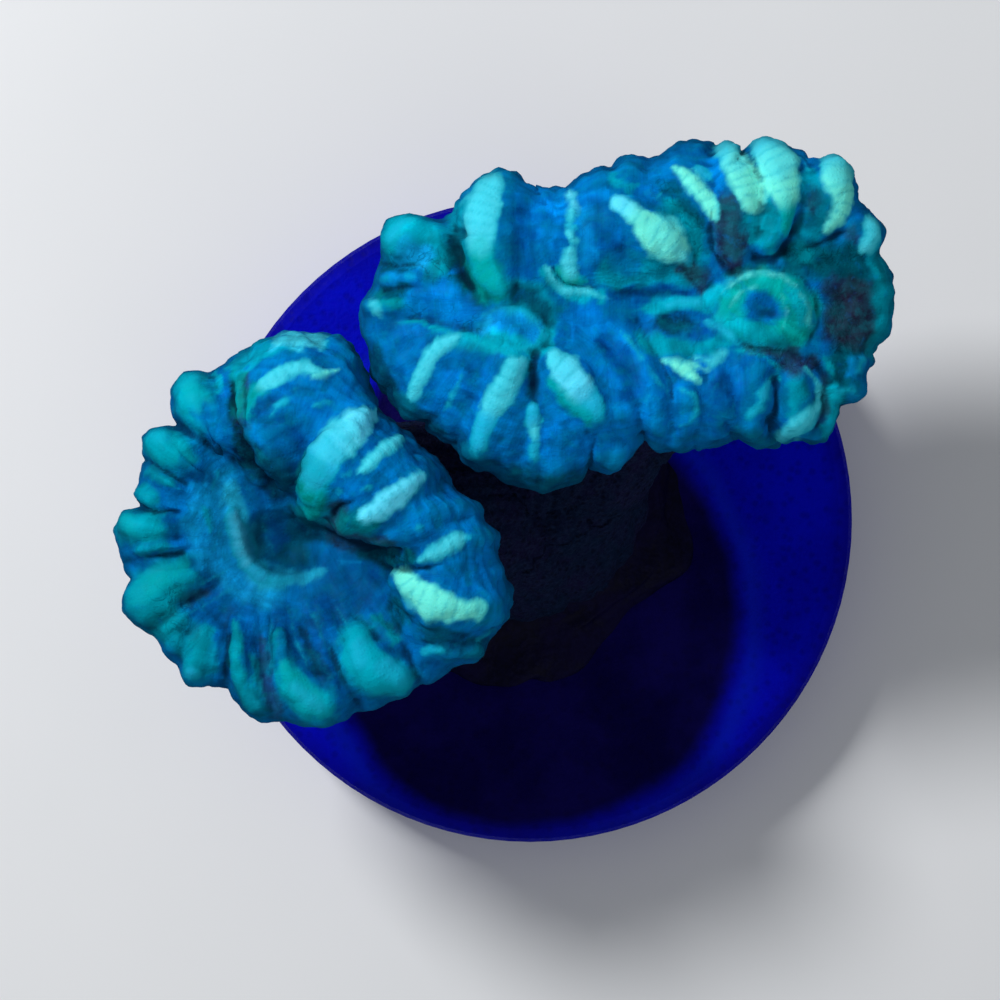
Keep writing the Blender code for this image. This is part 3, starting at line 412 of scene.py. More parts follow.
LEFT_WASHES = strokes(
    Wash,
    ("azure", 0.7, (-3.2, 2.4, 2), (-4.8, 0.6, 2.4), (-4.6, -1.4, 2.4), (-2.8, -3.6, 2),
     (-0.4, -3.8, 1.8)),
    ("sky", 1, (-4.3, 2.4, 0.8), (-4.7, 0.6, 1.2), (-4.3, -1.2, 1.3), (-3.3, -2.7, 1.1),
     (-1.8, -3.3, 0.7)),
    ("glow", 1, (-4.4, 1.6, 0.9), (-4.4, 0.4, 1.3), (-4.2, -0.8, 1.5), (-3.6, -2, 1.4), (-2.4, -3.2, 1)),
    ("blue", 0.6, (1.5, -3, 1.6), (2.4, -3.2, 1.4)),
    ("deep_blue", 0.8, (0.4, -4.2, 1.2), (1.8, -3.4, 1.3), (2.6, -2.8, 0.9)),
    ("deep_blue", 0.7, (-4.6, -2.9, 0.6), (-4.2, -4.2, 0.8), (-3.2, -5.4, 0.8)),
    ("deep_blue", 0.8, (-1.4, -4.6, 0.7), (-0.4, -5.8, 0.8), (0.8, -7.4, 0.8)),
    ("maroon", 0.8, (-5.1, -3.3, 0.35), (-5.8, -3.5, 0.45)),
    ("maroon", 0.6, (-2.4, -5.4, 0.3), (-2.3, -7.4, 0.4), (-1.9, -8.6, 0.5)),
    ("aqua", 1, (-3.8, 1.3, 0.5), (-3.75, 0.2, 0.8), (-3.5, -0.8, 0.9), (-3.05, -1.8, 0.8),
     (-2.4, -2.6, 0.6), (-1, -2.6, 0.45), (0.2, -2.2, 0.3)),
    ("sky", 1, (-5.4, 1.4, 0.5), (-5.2, 0, 0.8), (-4.8, -1.2, 0.7)),
    ("sky", 0.8, (1.3, -1.8, 0.2), (2.2, -1.9, 0.15)),
    ("dark_teal", 1, (-1.8, -0.6, 1.3), (-1.3, -1.1, 1.3), (-0.6, -0.9, 1.2)),
    ("blue", 0.8, (-2, 0.2, 0.6), (-1.9, -0.8, 0.6)),
    ("azure", 0.7, (0, -1.2, 0.5), (0.2, -1.1, 0.5)),
    ("navy", 0.9, (-3.7, 6.3, 0.14), (-3.7, 5.2, 0.2), (-3.5, 4.3, 0.35), (-3.1, 3.3, 0.6),
     (-2.5, 2.4, 0.8), (-1.6, 1.7, 0.8)),
    ("navy", 0.85, (-0.9, 0.4, 0.5), (-0.3, -0.1, 0.6), (0.8, -0.5, 0.6)),
    ("maroon", 0.7, (-3.05, 6.6, 0.35), (-3.2, 5.4, 0.4), (-3.3, 4.2, 0.4)),
    ("maroon", 0.85, (0.9, 0.1, 0.5), (1.3, 0.7, 0.4), (1, -0.7, 0.4), (2.2, -0.9, 0.5), (3.4, -1, 0.5)),
    ("dark_teal", 1, (2.2, -1.4, 0.5), (3.4, -1.6, 0.6), (4.3, -1.7, 0.5)),
    ("dark_teal", 0.9, (3.6, -3.6, 0.5), (3.9, -4.4, 0.6)),
    ("green_teal", 0.9, (0, 0.9, 1), (0.2, 1.6, 0.8)),
    ("green_teal", 0.8, (1.5, 0, 0.6), (2.6, -0.1, 0.5)),
    ("green_teal", 0.8, (-2.9, 4.9, 0.3), (-2.8, 5.6, 0.4), (-2.4, 6, 0.4)),
    ("green_teal", 0.8, (-3.4, 6.8, 0.4), (-3.35, 5.8, 0.35), (-3.4, 5, 0.3)),
    ("turquoise", 0.8, (-3.5, 7.2, 0.5), (-2.4, 7.9, 0.5), (-1, 8.3, 0.5), (0.2, 8.3, 0.4)),
    ("dusk", 0.8, (-1.9, 2.9, 0.7), (-1.3, 2.2, 0.8)),
    ("turquoise", 0.9, (1.9, -5.2, 0.9), (2.1, -6.3, 1.15), (3, -7, 1.2), (3.8, -7.2, 1)),
    ("teal", 0.9, (2.8, -4.5, 0.25), (3.4, -5, 0.3), (3.8, -5.4, 0.25)),
    ("teal", 1, (-1.7, -5.2, 0.5), (-1.5, -6.4, 0.65), (-0.9, -7.6, 0.9), (0.1, -8.4, 1)),
    ("turquoise", 1, (-0.9, -7.4, 0.5), (-0.1, -8.1, 0.5), (0.4, -8.5, 0.5)),
    ("teal", 1, (-3.6, -4.6, 0.2), (-3.6, -6, 0.3), (-3.4, -7.3, 0.5), (-2.8, -8.4, 0.5)),
    ("teal", 0.8, (-2.8, -6.2, 0.2), (-2.5, -8.2, 0.3)),
    ("teal", 0.9, (-5, -4.9, 0.4), (-5.3, -5.8, 0.6), (-5.6, -6.6, 0.5)),
    ("teal", 1, (-5.5, -2, 0.7), (-6.6, -2.6, 1.3), (-7.6, -3.5, 1.4), (-7, -4.6, 1)),
    # Painted highlight on the lobe's top.
    ("turquoise", 0.4, (-6.4, -2.3, 0.5), (-7.4, -2.6, 0.5), (-8, -3.4, 0.5)),
    ("teal", 0.7, (-8.2, -1.25, 0.25), (-6.8, -1.1, 0.25)),
    ("teal", 1, (-8.6, -0.1, 0.9), (-7.4, -0.2, 0.9)),
    # Painted highlight on the lobe's top.
    ("turquoise", 0.5, (-8.5, 0.1, 0.5), (-8, 0, 0.5)),
    ("teal", 0.9, (-7.9, 1.4, 0.5), (-7.4, 1, 0.4)),
    ("teal", 0.8, (-7.4, 2.3, 0.35), (-6.6, 1.9, 0.3)),
    ("teal", 1, (-7.1, 3.6, 1), (-6.2, 3.1, 1)),
    # Painted highlight on the lobe's top.
    ("turquoise", 0.5, (-7.3, 4, 0.45), (-6.6, 3.9, 0.45)),
    ("teal", 1, (-5.7, 6.2, 1.1), (-5.3, 5.2, 1), (-4.8, 4.4, 0.7)),
    # Painted highlight on the lobe's top.
    ("turquoise", 0.5, (-5.8, 6.3, 0.5), (-5.3, 6.7, 0.4), (-5.6, 5.6, 0.4)),
    ("turquoise", 0.8, (-4.5, 6.7, 0.25), (-4.4, 6, 0.25)),
    ("teal", 0.8, (-6.3, -4.9, 0.9), (-5.6, -5.8, 0.9), (-5.2, -6.6, 0.8)),
    # Painted highlight along the top rim.
    ("aqua", 1, (-1.9, 8.1, 0.25), (-1, 8.35, 0.35), (0.1, 8.3, 0.35)),
    ("azure", 0.9, (6.2, 1.4, 0.5), (6.9, 0.8, 0.5), (7.6, 0, 0.5)),
    ("azure", 1, (7.9, -1.6, 0.5), (8.2, -2.4, 0.5), (8.3, -3.2, 0.4)),
    ("dusk", 0.8, (-0.6, -5, 0.2), (-0.1, -6, 0.3), (0.5, -7, 0.35)),
    ("deep_blue", 0.6, (-6, 2.6, 0.4), (-5.2, 2.2, 0.4)),
    ("deep_blue", 0.6, (-6.6, 0.2, 0.3), (-6, -0.4, 0.4)),
    ("deep_blue", 0.7, (-5.6, -1.8, 0.3), (-4.9, -2.4, 0.4)),
    # Painted highlight along the top rim.
    ("pale", 0.8, (-1.6, 8.3, 0.4), (-0.8, 8.4, 0.5), (0, 8.35, 0.45)),
    ("dark_teal", 0.8, (-2.9, -8, 0.6), (-2.6, -8.6, 0.6)),
    ("deep_blue", 0.8, (-1.5, -5.4, 0.5), (-1.45, -6.3, 0.6)),
    ("dark_teal", 0.6, (1.6, 0.1, 0.7), (2.3, 0.1, 0.5)),
    ("deep_blue", 0.8, (2.6, 3.6, 0.4), (2.6, 4.2, 0.45)),
    ("navy", 0.9, (-3.5, 4.1, 0.45), (-3.3, 3.3, 0.55), (-2.8, 2.8, 0.5)),
    ("deep_blue", 1, (-2.2, 5.1, 0.8), (-1.6, 4.5, 0.95), (-1, 3.7, 0.8)),
    ("dusk", 0.9, (5.2, -5, 0.5), (6.6, -5.5, 0.7), (7.8, -5.7, 0.7)),
    ("blue", 0.95, (-4.95, 4.9, 0.6), (-4.6, 4.3, 0.7), (-4.2, 3.6, 0.6)),
    ("deep_blue", 0.9, (-1.95, 0, 0.6), (-1.8, -0.8, 0.6)),
    ("glow", 1, (-4.9, 0.6, 0.9), (-4.9, -0.3, 1.1), (-4.5, -1.5, 1), (-3.7, -2.6, 0.7)),
    ("sky", 0.5, (-4.8, 0.5, 0.8), (-4.7, -0.4, 1), (-4.3, -1.5, 0.9), (-3.6, -2.4, 0.7)),
)

RIGHT_WASHES = strokes(
    Wash,
    ("teal", 0.9, (-9.9, 4, 1.4), (-8.6, 3.8, 1.1), (-8.2, 2.8, 0.9)),
    ("turquoise", 1, (-10.6, 3.7, 0.5), (-10.2, 4.6, 0.5), (-9.5, 4.8, 0.4)),
    ("sky", 0.7, (-10.7, 2.1, 0.35), (-9.6, 2.1, 0.3)),
    ("green_teal", 0.8, (-10.9, 1.1, 0.5), (-9.8, 1.1, 0.5)),
    ("dark_teal", 0.9, (-10.7, 1.5, 0.3), (-9.9, 1.6, 0.35)),
    ("dark_teal", 0.8, (-10.8, 2.8, 0.3), (-10.1, 2.6, 0.35)),
    ("azure", 0.9, (-9.4, 0.9, 0.7), (-8, 1.2, 0.8), (-7.4, 0.4, 0.7)),
    ("dark_teal", 1, (-7.6, 3.2, 0.4), (-7.2, 2.2, 0.6), (-6.4, 1.3, 0.5)),
    ("azure", 0.9, (-7.5, 2.4, 0.2), (-7.4, 2.4, 0.2)),
    ("glow", 1, (-5.9, -0.1, 0.7), (-4.8, 0, 1), (-4, -0.3, 0.9)),
    ("sky", 1, (-5.5, 0.2, 0.5), (-5, -0.3, 0.6), (-4.3, -0.5, 0.5)),
    ("turquoise", 0.9, (-5.9, -0.6, 0.4), (-4.6, -1, 0.4), (-3.5, -1, 0.4), (-3.3, 0, 0.3)),
    ("turquoise", 0.7, (-7.4, -0.7, 0.4), (-6.4, -0.9, 0.4), (-5.2, -1.3, 0.4)),
    ("green_teal", 1, (-6.4, 2.9, 1), (-6.1, 2, 0.9), (-5.6, 1.4, 0.6)),
    ("teal", 0.8, (-4.6, 1.2, 0.9), (-3.8, 0.9, 0.9), (-3.2, 0.3, 0.6)),
    ("dusk", 0.8, (-4.9, 1.4, 0.35), (-4, 1.1, 0.4), (-3.2, 0.2, 0.4)),
    ("deep_blue", 0.9, (-4.8, 4.4, 1), (-4.6, 3, 1)),
    ("azure", 0.7, (-3.4, 5.6, 0.8), (-3.2, 3.6, 0.7)),
    ("sky", 0.7, (-1.6, 5, 0.5), (-1.6, 3, 0.6)),
    ("deep_blue", 0.7, (-0.9, 5, 0.6), (-0.8, 3.4, 0.6), (0.3, 3.1, 0.5)),
    ("turquoise", 0.6, (-0.4, 6.5, 0.3), (0.5, 6.1, 0.3)),
    ("turquoise", 0.9, (-3.4, 2.3, 0.35), (-2.8, 1.6, 0.35), (-2, 1.3, 0.4), (-1, 1.2, 0.3)),
    ("teal", 0.8, (-0.4, 2.3, 0.9), (1.5, 2.4, 0.8), (3, 2.2, 0.6)),
    ("deep_blue", 1, (-0.2, 1.4, 0.35), (1.5, 1.35, 0.45), (3, 1.35, 0.35)),
    ("azure", 0.8, (-1.8, 0.3, 0.8), (-0.6, -0.6, 1), (0.4, -2.2, 1.1), (0.9, -3.8, 1)),
    ("deep_blue", 0.9, (-0.7, -0.9, 0.5), (0.3, -2.2, 0.7), (0.5, -3.2, 0.6)),
    ("teal", 0.9, (1.6, 3.2, 0.5), (2.4, 5, 0.8), (3.1, 4.2, 0.8), (3.4, 3, 0.5)),
    ("dark_teal", 0.8, (2.2, 6.2, 0.45), (2.8, 5.6, 0.4), (3.4, 4.8, 0.4)),
    ("maroon", 0.8, (2.9, 2.5, 0.35), (3.6, 2, 0.5), (3.7, 1.5, 0.3)),
    ("maroon", 0.9, (4.9, 5.3, 0.6), (4.8, 4.2, 0.85), (5, 3.1, 0.75), (5.2, 2.5, 0.4)),
    ("teal", 0.9, (5.9, 5, 0.5), (5.9, 3.9, 0.5)),
    ("teal", 0.9, (6.5, 6, 0.5), (6.7, 4.6, 0.7), (6.6, 3.6, 0.5)),
    ("azure", 0.8, (4.2, 7.4, 0.5), (4.5, 6.4, 0.5)),
    ("teal", 0.8, (8.4, 6.4, 0.7), (8.9, 5.4, 0.7), (8.6, 4.3, 0.8)),
    ("maroon", 0.7, (8.5, 5.5, 0.35), (8.5, 5.2, 0.35)),
    ("dark_teal", 1, (7.8, 3, 0.9), (9.2, 2.9, 1), (10.6, 2.8, 1), (11.2, 1.8, 1), (11.2, 0.2, 1),
     (10.4, -1.4, 1), (9.6, -3.6, 0.8)),
    ("teal", 0.7, (7.9, 3.6, 0.4), (8.4, 3, 0.4)),
    ("maroon", 0.7, (9.6, 1.7, 0.6), (11, 1.6, 0.6)),
    ("maroon", 0.95, (10.9, 1.2, 0.8), (10.2, 0.6, 1.1), (10, -0.1, 0.9), (11, -0.2, 0.7)),
    ("maroon", 0.6, (10.4, 4.1, 0.5), (10.7, 3.9, 0.4)),
    ("teal", 0.85, (11.6, 3.2, 0.5), (12.1, 2.2, 0.6), (12.2, 1, 0.6), (12, -0.2, 0.55),
     (11.5, -1.2, 0.5)),
    ("sea", 1, (5, 0.4, 0.9), (5.4, 1.4, 0.9), (6.4, 1.9, 0.8), (7.6, 1.5, 0.9), (8.1, 0.6, 1),
     (7.8, -0.4, 0.8), (6.5, -0.5, 0.5), (5.2, 0, 0.8)),
    ("turquoise", 0.9, (4.6, -0.1, 0.5), (5.4, 0, 0.5), (6, -0.4, 0.4)),
    ("blue", 1, (6.2, 0.8, 0.8), (6.7, 0.5, 0.75)),
    ("turquoise", 0.9, (1.4, 0.7, 0.35), (2.6, 0.9, 0.45), (3.8, 0.9, 0.45), (4.4, 1.4, 0.5)),
    ("teal", 0.9, (1.2, -0.9, 0.6), (2.6, -1.2, 0.5), (4.2, -0.9, 0.6), (4.9, -0.6, 0.5)),
    ("dusk", 1, (1.8, 0.1, 0.5), (2.6, -0.1, 0.55), (3.3, -0.4, 0.4)),
    ("deep_blue", 0.9, (3.4, -0.5, 0.5), (4.2, -0.4, 0.4)),
    ("azure", 0.8, (-8, -2.6, 0.6), (-8.6, -3.6, 0.5), (-6.8, -2.4, 0.7), (-7.2, -4.4, 0.6)),
    ("deep_blue", 0.7, (-6.6, -2.4, 0.5), (-7.2, -4, 0.5)),
    ("dusk", 0.8, (-10.6, -3, 0.6), (-9.4, -4.2, 0.6), (-7.8, -5.2, 0.6), (-6.6, -6.4, 0.6),
     (-4.6, -7.2, 0.6)),
    ("turquoise", 0.8, (-4.6, -1.5, 0.5), (-4.4, -2, 0.5)),
    ("sea", 0.8, (-3, -2.7, 0.4), (-2.4, -3.4, 0.5), (-1.6, -4.1, 0.5)),
    ("navy", 0.7, (-4.15, -1.8, 0.2), (-4, -2.6, 0.25), (-4, -3.6, 0.25)),
    ("azure", 0.8, (-3.1, -5, 0.6), (-2.9, -6.4, 0.6)),
    ("sky", 0.7, (-0.1, -5.8, 0.4), (-0.2, -6.2, 0.35)),
    ("azure", 0.8, (-0.8, -4.6, 0.6), (-0.4, -4.8, 0.5)),
    ("deep_blue", 0.8, (4.6, -2.8, 0.7), (4.6, -4.4, 0.8), (5.4, -3.2, 0.7)),
    ("teal", 0.8, (7.8, -3, 0.7), (7.6, -3.8, 0.6)),
    ("deep_blue", 0.7, (7.2, -3.2, 0.4), (7.2, -4.6, 0.4)),
    ("maroon", 0.85, (5.6, -1.05, 0.25), (6.8, -1.3, 0.3), (7.8, -1.4, 0.4), (8.7, -1.9, 0.3)),
    ("maroon", 0.8, (7.4, -1.9, 0.35), (8.1, -2.2, 0.35)),
    ("maroon", 0.6, (9.2, -2.6, 0.25), (9.3, -3.6, 0.3), (9.1, -4.4, 0.3)),
    ("turquoise", 0.8, (9.7, -2.9, 0.25), (9.8, -3.8, 0.3), (9.4, -5, 0.35)),
    ("sky", 0.9, (10.8, -1.8, 0.4), (10.5, -2.4, 0.3)),
    ("teal", 0.9, (9.3, -1.6, 0.3), (9.6, -2.1, 0.3)),
    ("sky", 1, (-4.9, -0.2, 0.5), (-4.2, -0.3, 0.5)),
    ("dusk", 0.9, (-11.3, -1.4, 0.5), (-10.9, -2.4, 0.6), (-10, -3.8, 0.5)),
    ("dusk", 0.7, (5.4, -5, 0.4), (7.6, -5.6, 0.4), (9.4, -5.4, 0.3)),
    ("turquoise", 0.8, (8, 1.3, 0.4), (8.2, 0.3, 0.5)),
    ("teal", 0.6, (6, -0.7, 0.4), (7, -0.8, 0.4)),
    ("maroon", 0.95, (10.4, 1.3, 0.9), (10.5, 0.4, 1.1), (10.5, -0.4, 0.9)),
    ("dusk", 0.5, (4.9, 4.7, 0.7), (5, 3.7, 0.7)),
    ("dusk", 0.7, (8.7, 5.6, 0.6), (8.8, 4.9, 0.8)),
    ("glow", 0.9, (-9.6, 3.3, 0.7), (-9, 3.1, 0.6)),
    ("blue", 0.8, (-7, -2.8, 0.5), (-7.3, -3.8, 0.55), (-7.7, -4.6, 0.5)),
    ("dusk", 1, (-4.7, -7.2, 0.8), (-3.3, -7.4, 0.8), (-1.9, -7.3, 0.7)),
    ("turquoise", 0.8, (-7.3, 5.3, 0.4), (-7.4, 4.4, 0.5), (-7.25, 3.5, 0.4)),
    ("teal", 0.5, (5.6, -0.9, 0.6), (6.4, -0.7, 0.6), (7, -0.9, 0.5)),
    ("deep_blue", 0.6, (-0.4, 2.9, 0.45), (0.6, 2.6, 0.45)),
    ("maroon", 0.5, (4.9, 4.7, 0.5), (4.95, 3.7, 0.6)),
)

LEFT_STRIPES = strokes(
    Stripe,
    ("pale", 1, (-2.3, 6.35, 0.3), (-1.7, 6.65, 0.42), (-1.1, 6.98, 0.42), (-0.4, 7.05, 0.38),
     (0.1, 6.8, 0.34)),
    ("mint", 0.9, (0.1, 6.7, 0.3), (0.5, 6.72, 0.24), (1.1, 6.85, 0.16)),
    ("green_teal", 0.8, (-2.85, 4.9, 0.2), (-2.8, 5.5, 0.28), (-2.45, 6.05, 0.3)),
    ("aqua", 0.6, (-1.5, 5.3, 0.2), (-1.2, 5.6, 0.22)),
    ("aqua", 0.5, (-1.8, 4.95, 0.12), (-1.65, 5.1, 0.12)),
    ("aqua", 0.6, (0.1, 5.35, 0.2), (0.5, 5.5, 0.24), (0.95, 5.45, 0.16)),
    ("aqua", 0.4, (-1, 6, 0.12), (-0.7, 6.05, 0.12)),
    ("pale", 1, (0.9, 3.3, 0.8), (1.4, 3.8, 0.88)),
    ("ice", 1.1, (1.6, 4, 0.76), (2, 4.45, 0.7), (2.4, 4.85, 0.46)),
    ("aqua", 1, (0.1, 2.2, 0.75), (0.5, 2.9, 0.9), (1, 3.4, 0.85)),
    ("green_teal", 0.9, (-0.1, 1.2, 0.5), (-0.1, 1.8, 0.7), (0.2, 2.4, 0.8)),
    ("pale", 1.1, (2.35, 2.35, 0.2), (2.8, 2.8, 0.3), (3.3, 3.35, 0.34), (3.9, 3.8, 0.2)),
    ("aqua", 0.5, (1.5, 2.1, 0.12), (1.65, 2.25, 0.12)),
    ("aqua", 0.6, (2.4, 1.65, 0.17), (2.6, 1.75, 0.15)),
    ("aqua", 0.4, (1.2, 1.3, 0.16), (1.3, 1.6, 0.14)),
    ("sea", 0.25, (1.6, 0.1, 0.3), (2, 0.1, 0.35), (2.6, 0.25, 0.4)),
    ("ice", 1.15, (2.5, 0.3, 0.36), (3.1, 0.6, 0.5), (3.7, 1.15, 0.56), (4.2, 1.65, 0.42),
     (4.75, 2.1, 0.28)),
    ("aqua", 0.5, (4.8, -0.1, 0.2), (4.95, -0.1, 0.18)),
    ("aqua", 0.3, (5.8, 0.7, 0.16), (6, 0.75, 0.16)),
    ("pale", 0.9, (4.95, -1.65, 0.24), (5.5, -1.4, 0.4), (6.1, -1.1, 0.44), (6.6, -0.85, 0.4)),
    ("aqua", 0.6, (7.05, -0.75, 0.18), (7.15, -0.7, 0.18)),
    ("mint", 1, (4.1, -2.5, 0.42), (4.6, -3, 0.62), (5.3, -3.4, 0.78)),
    ("mint", 1, (5.4, -3.5, 0.8), (6.1, -3.75, 0.7), (6.8, -3.9, 0.52), (7.4, -3.9, 0.52)),
    ("aqua", 0.6, (5.1, -5.9, 0.26), (5.4, -5.8, 0.28), (5.7, -5.85, 0.3)),
    ("aqua", 0.5, (7.5, -5.35, 0.14), (8.1, -5, 0.16)),
    ("turquoise", 0.8, (1.9, -5.5, 0.7), (2.2, -6.3, 0.85), (3, -6.9, 0.9), (3.8, -7.1, 0.7)),
    ("sea", 0.6, (-1.3, -6.6, 0.4), (-0.8, -7.4, 0.65), (-0.1, -8.1, 0.75), (0.3, -8.5, 0.6)),
    ("teal", 0.3, (-3.4, -7.2, 0.4), (-2.9, -8.2, 0.4)),
    ("aqua", 1, (-3.8, 0.4, 0.35), (-3.65, -0.4, 0.5), (-3.4, -1.1, 0.55), (-3.1, -1.8, 0.45),
     (-2.5, -2.4, 0.35)),
    ("ice", 0.95, (-3.75, 0.3, 0.18), (-3.62, -0.4, 0.26), (-3.4, -1.1, 0.28), (-3.1, -1.75, 0.2)),
    ("aqua", 0.6, (-2.2, -2.65, 0.14), (-1.6, -2.7, 0.18), (-1.1, -2.6, 0.12)),
    ("turquoise", 0.5, (-5, 0.6, 0.25), (-4.8, -0.4, 0.25)),
    ("turquoise", 0.5, (-4.7, 1.6, 0.2), (-4.4, 2.2, 0.2)),
    ("aqua", 0.35, (-2.55, 0.2, 0.1), (-2.4, -0.8, 0.12), (-2, -1.4, 0.1)),
    ("aqua", 0.4, (-0.5, -1.55, 0.1), (-0.2, -1.65, 0.1)),
    ("sea", 0.5, (-8.6, 0.2, 0.45), (-8.2, -0.3, 0.45)),
    ("sea", 0.5, (-8, -3.3, 0.7), (-7.2, -2.6, 0.8), (-6.2, -2.2, 0.5)),
    ("sea", 0.5, (-5.7, 6.2, 0.6), (-5.4, 5.5, 0.5)),
    # The aqua marks from here to the one at (-5.7, -6.8) are painted highlights on the tops of the lobes.
    ("aqua", 0.75, (2, -5.7, 0.45), (2.1, -6.2, 0.5)),
    ("aqua", 0.75, (3.3, -6.6, 0.55), (3.9, -7, 0.55)),
    ("aqua", 0.75, (-0.8, -7.5, 0.4), (-0.1, -8.1, 0.5), (0.3, -8.4, 0.5)),
    ("aqua", 0.4, (-2.9, -7.9, 0.3), (-2.6, -8.4, 0.35)),
    ("aqua", 0.3, (-5.8, 6.35, 0.5), (-5.3, 6.6, 0.45)),
    ("aqua", 0.4, (-5.5, 5.6, 0.4), (-5.3, 5.2, 0.35)),
    ("aqua", 0.3, (-7.3, 4.05, 0.4), (-6.8, 4, 0.45)),
    ("aqua", 0.3, (-8.6, 0.1, 0.4), (-8.2, -0.1, 0.45)),
    ("aqua", 0.3, (-7.5, -2.3, 0.35), (-6.9, -2.1, 0.4)),
    ("aqua", 0.3, (-8.1, -3.3, 0.45), (-8, -3.8, 0.4)),
    ("aqua", 0.75, (-5.7, -6.8, 0.3), (-5.5, -6.9, 0.3)),
    ("aqua", 0.45, (-2.6, -4.1, 0.07), (-2.85, -5, 0.09)),
    ("aqua", 0.45, (-3.3, -4, 0.07), (-3.8, -4.9, 0.09)),
    ("aqua", 0.4, (-1.3, -4, 0.07), (-0.9, -5.3, 0.09), (-0.3, -6.5, 0.08)),
    ("aqua", 0.45, (-4, -3.1, 0.07), (-5, -3.8, 0.09), (-6, -4.3, 0.08)),
    ("aqua", 0.45, (-4.2, -2.3, 0.07), (-5.2, -2.8, 0.09), (-6.2, -3.3, 0.08)),
    ("aqua", 0.4, (-1.9, -3.9, 0.07), (-2, -5.2, 0.09), (-2, -6.6, 0.08)),
    ("aqua", 0.4, (0.6, -3.4, 0.07), (1.2, -4.3, 0.09), (1.7, -5.2, 0.08)),
    ("aqua", 0.4, (-0.5, -3.6, 0.07), (0.2, -4.8, 0.09), (0.9, -6.2, 0.08)),
)

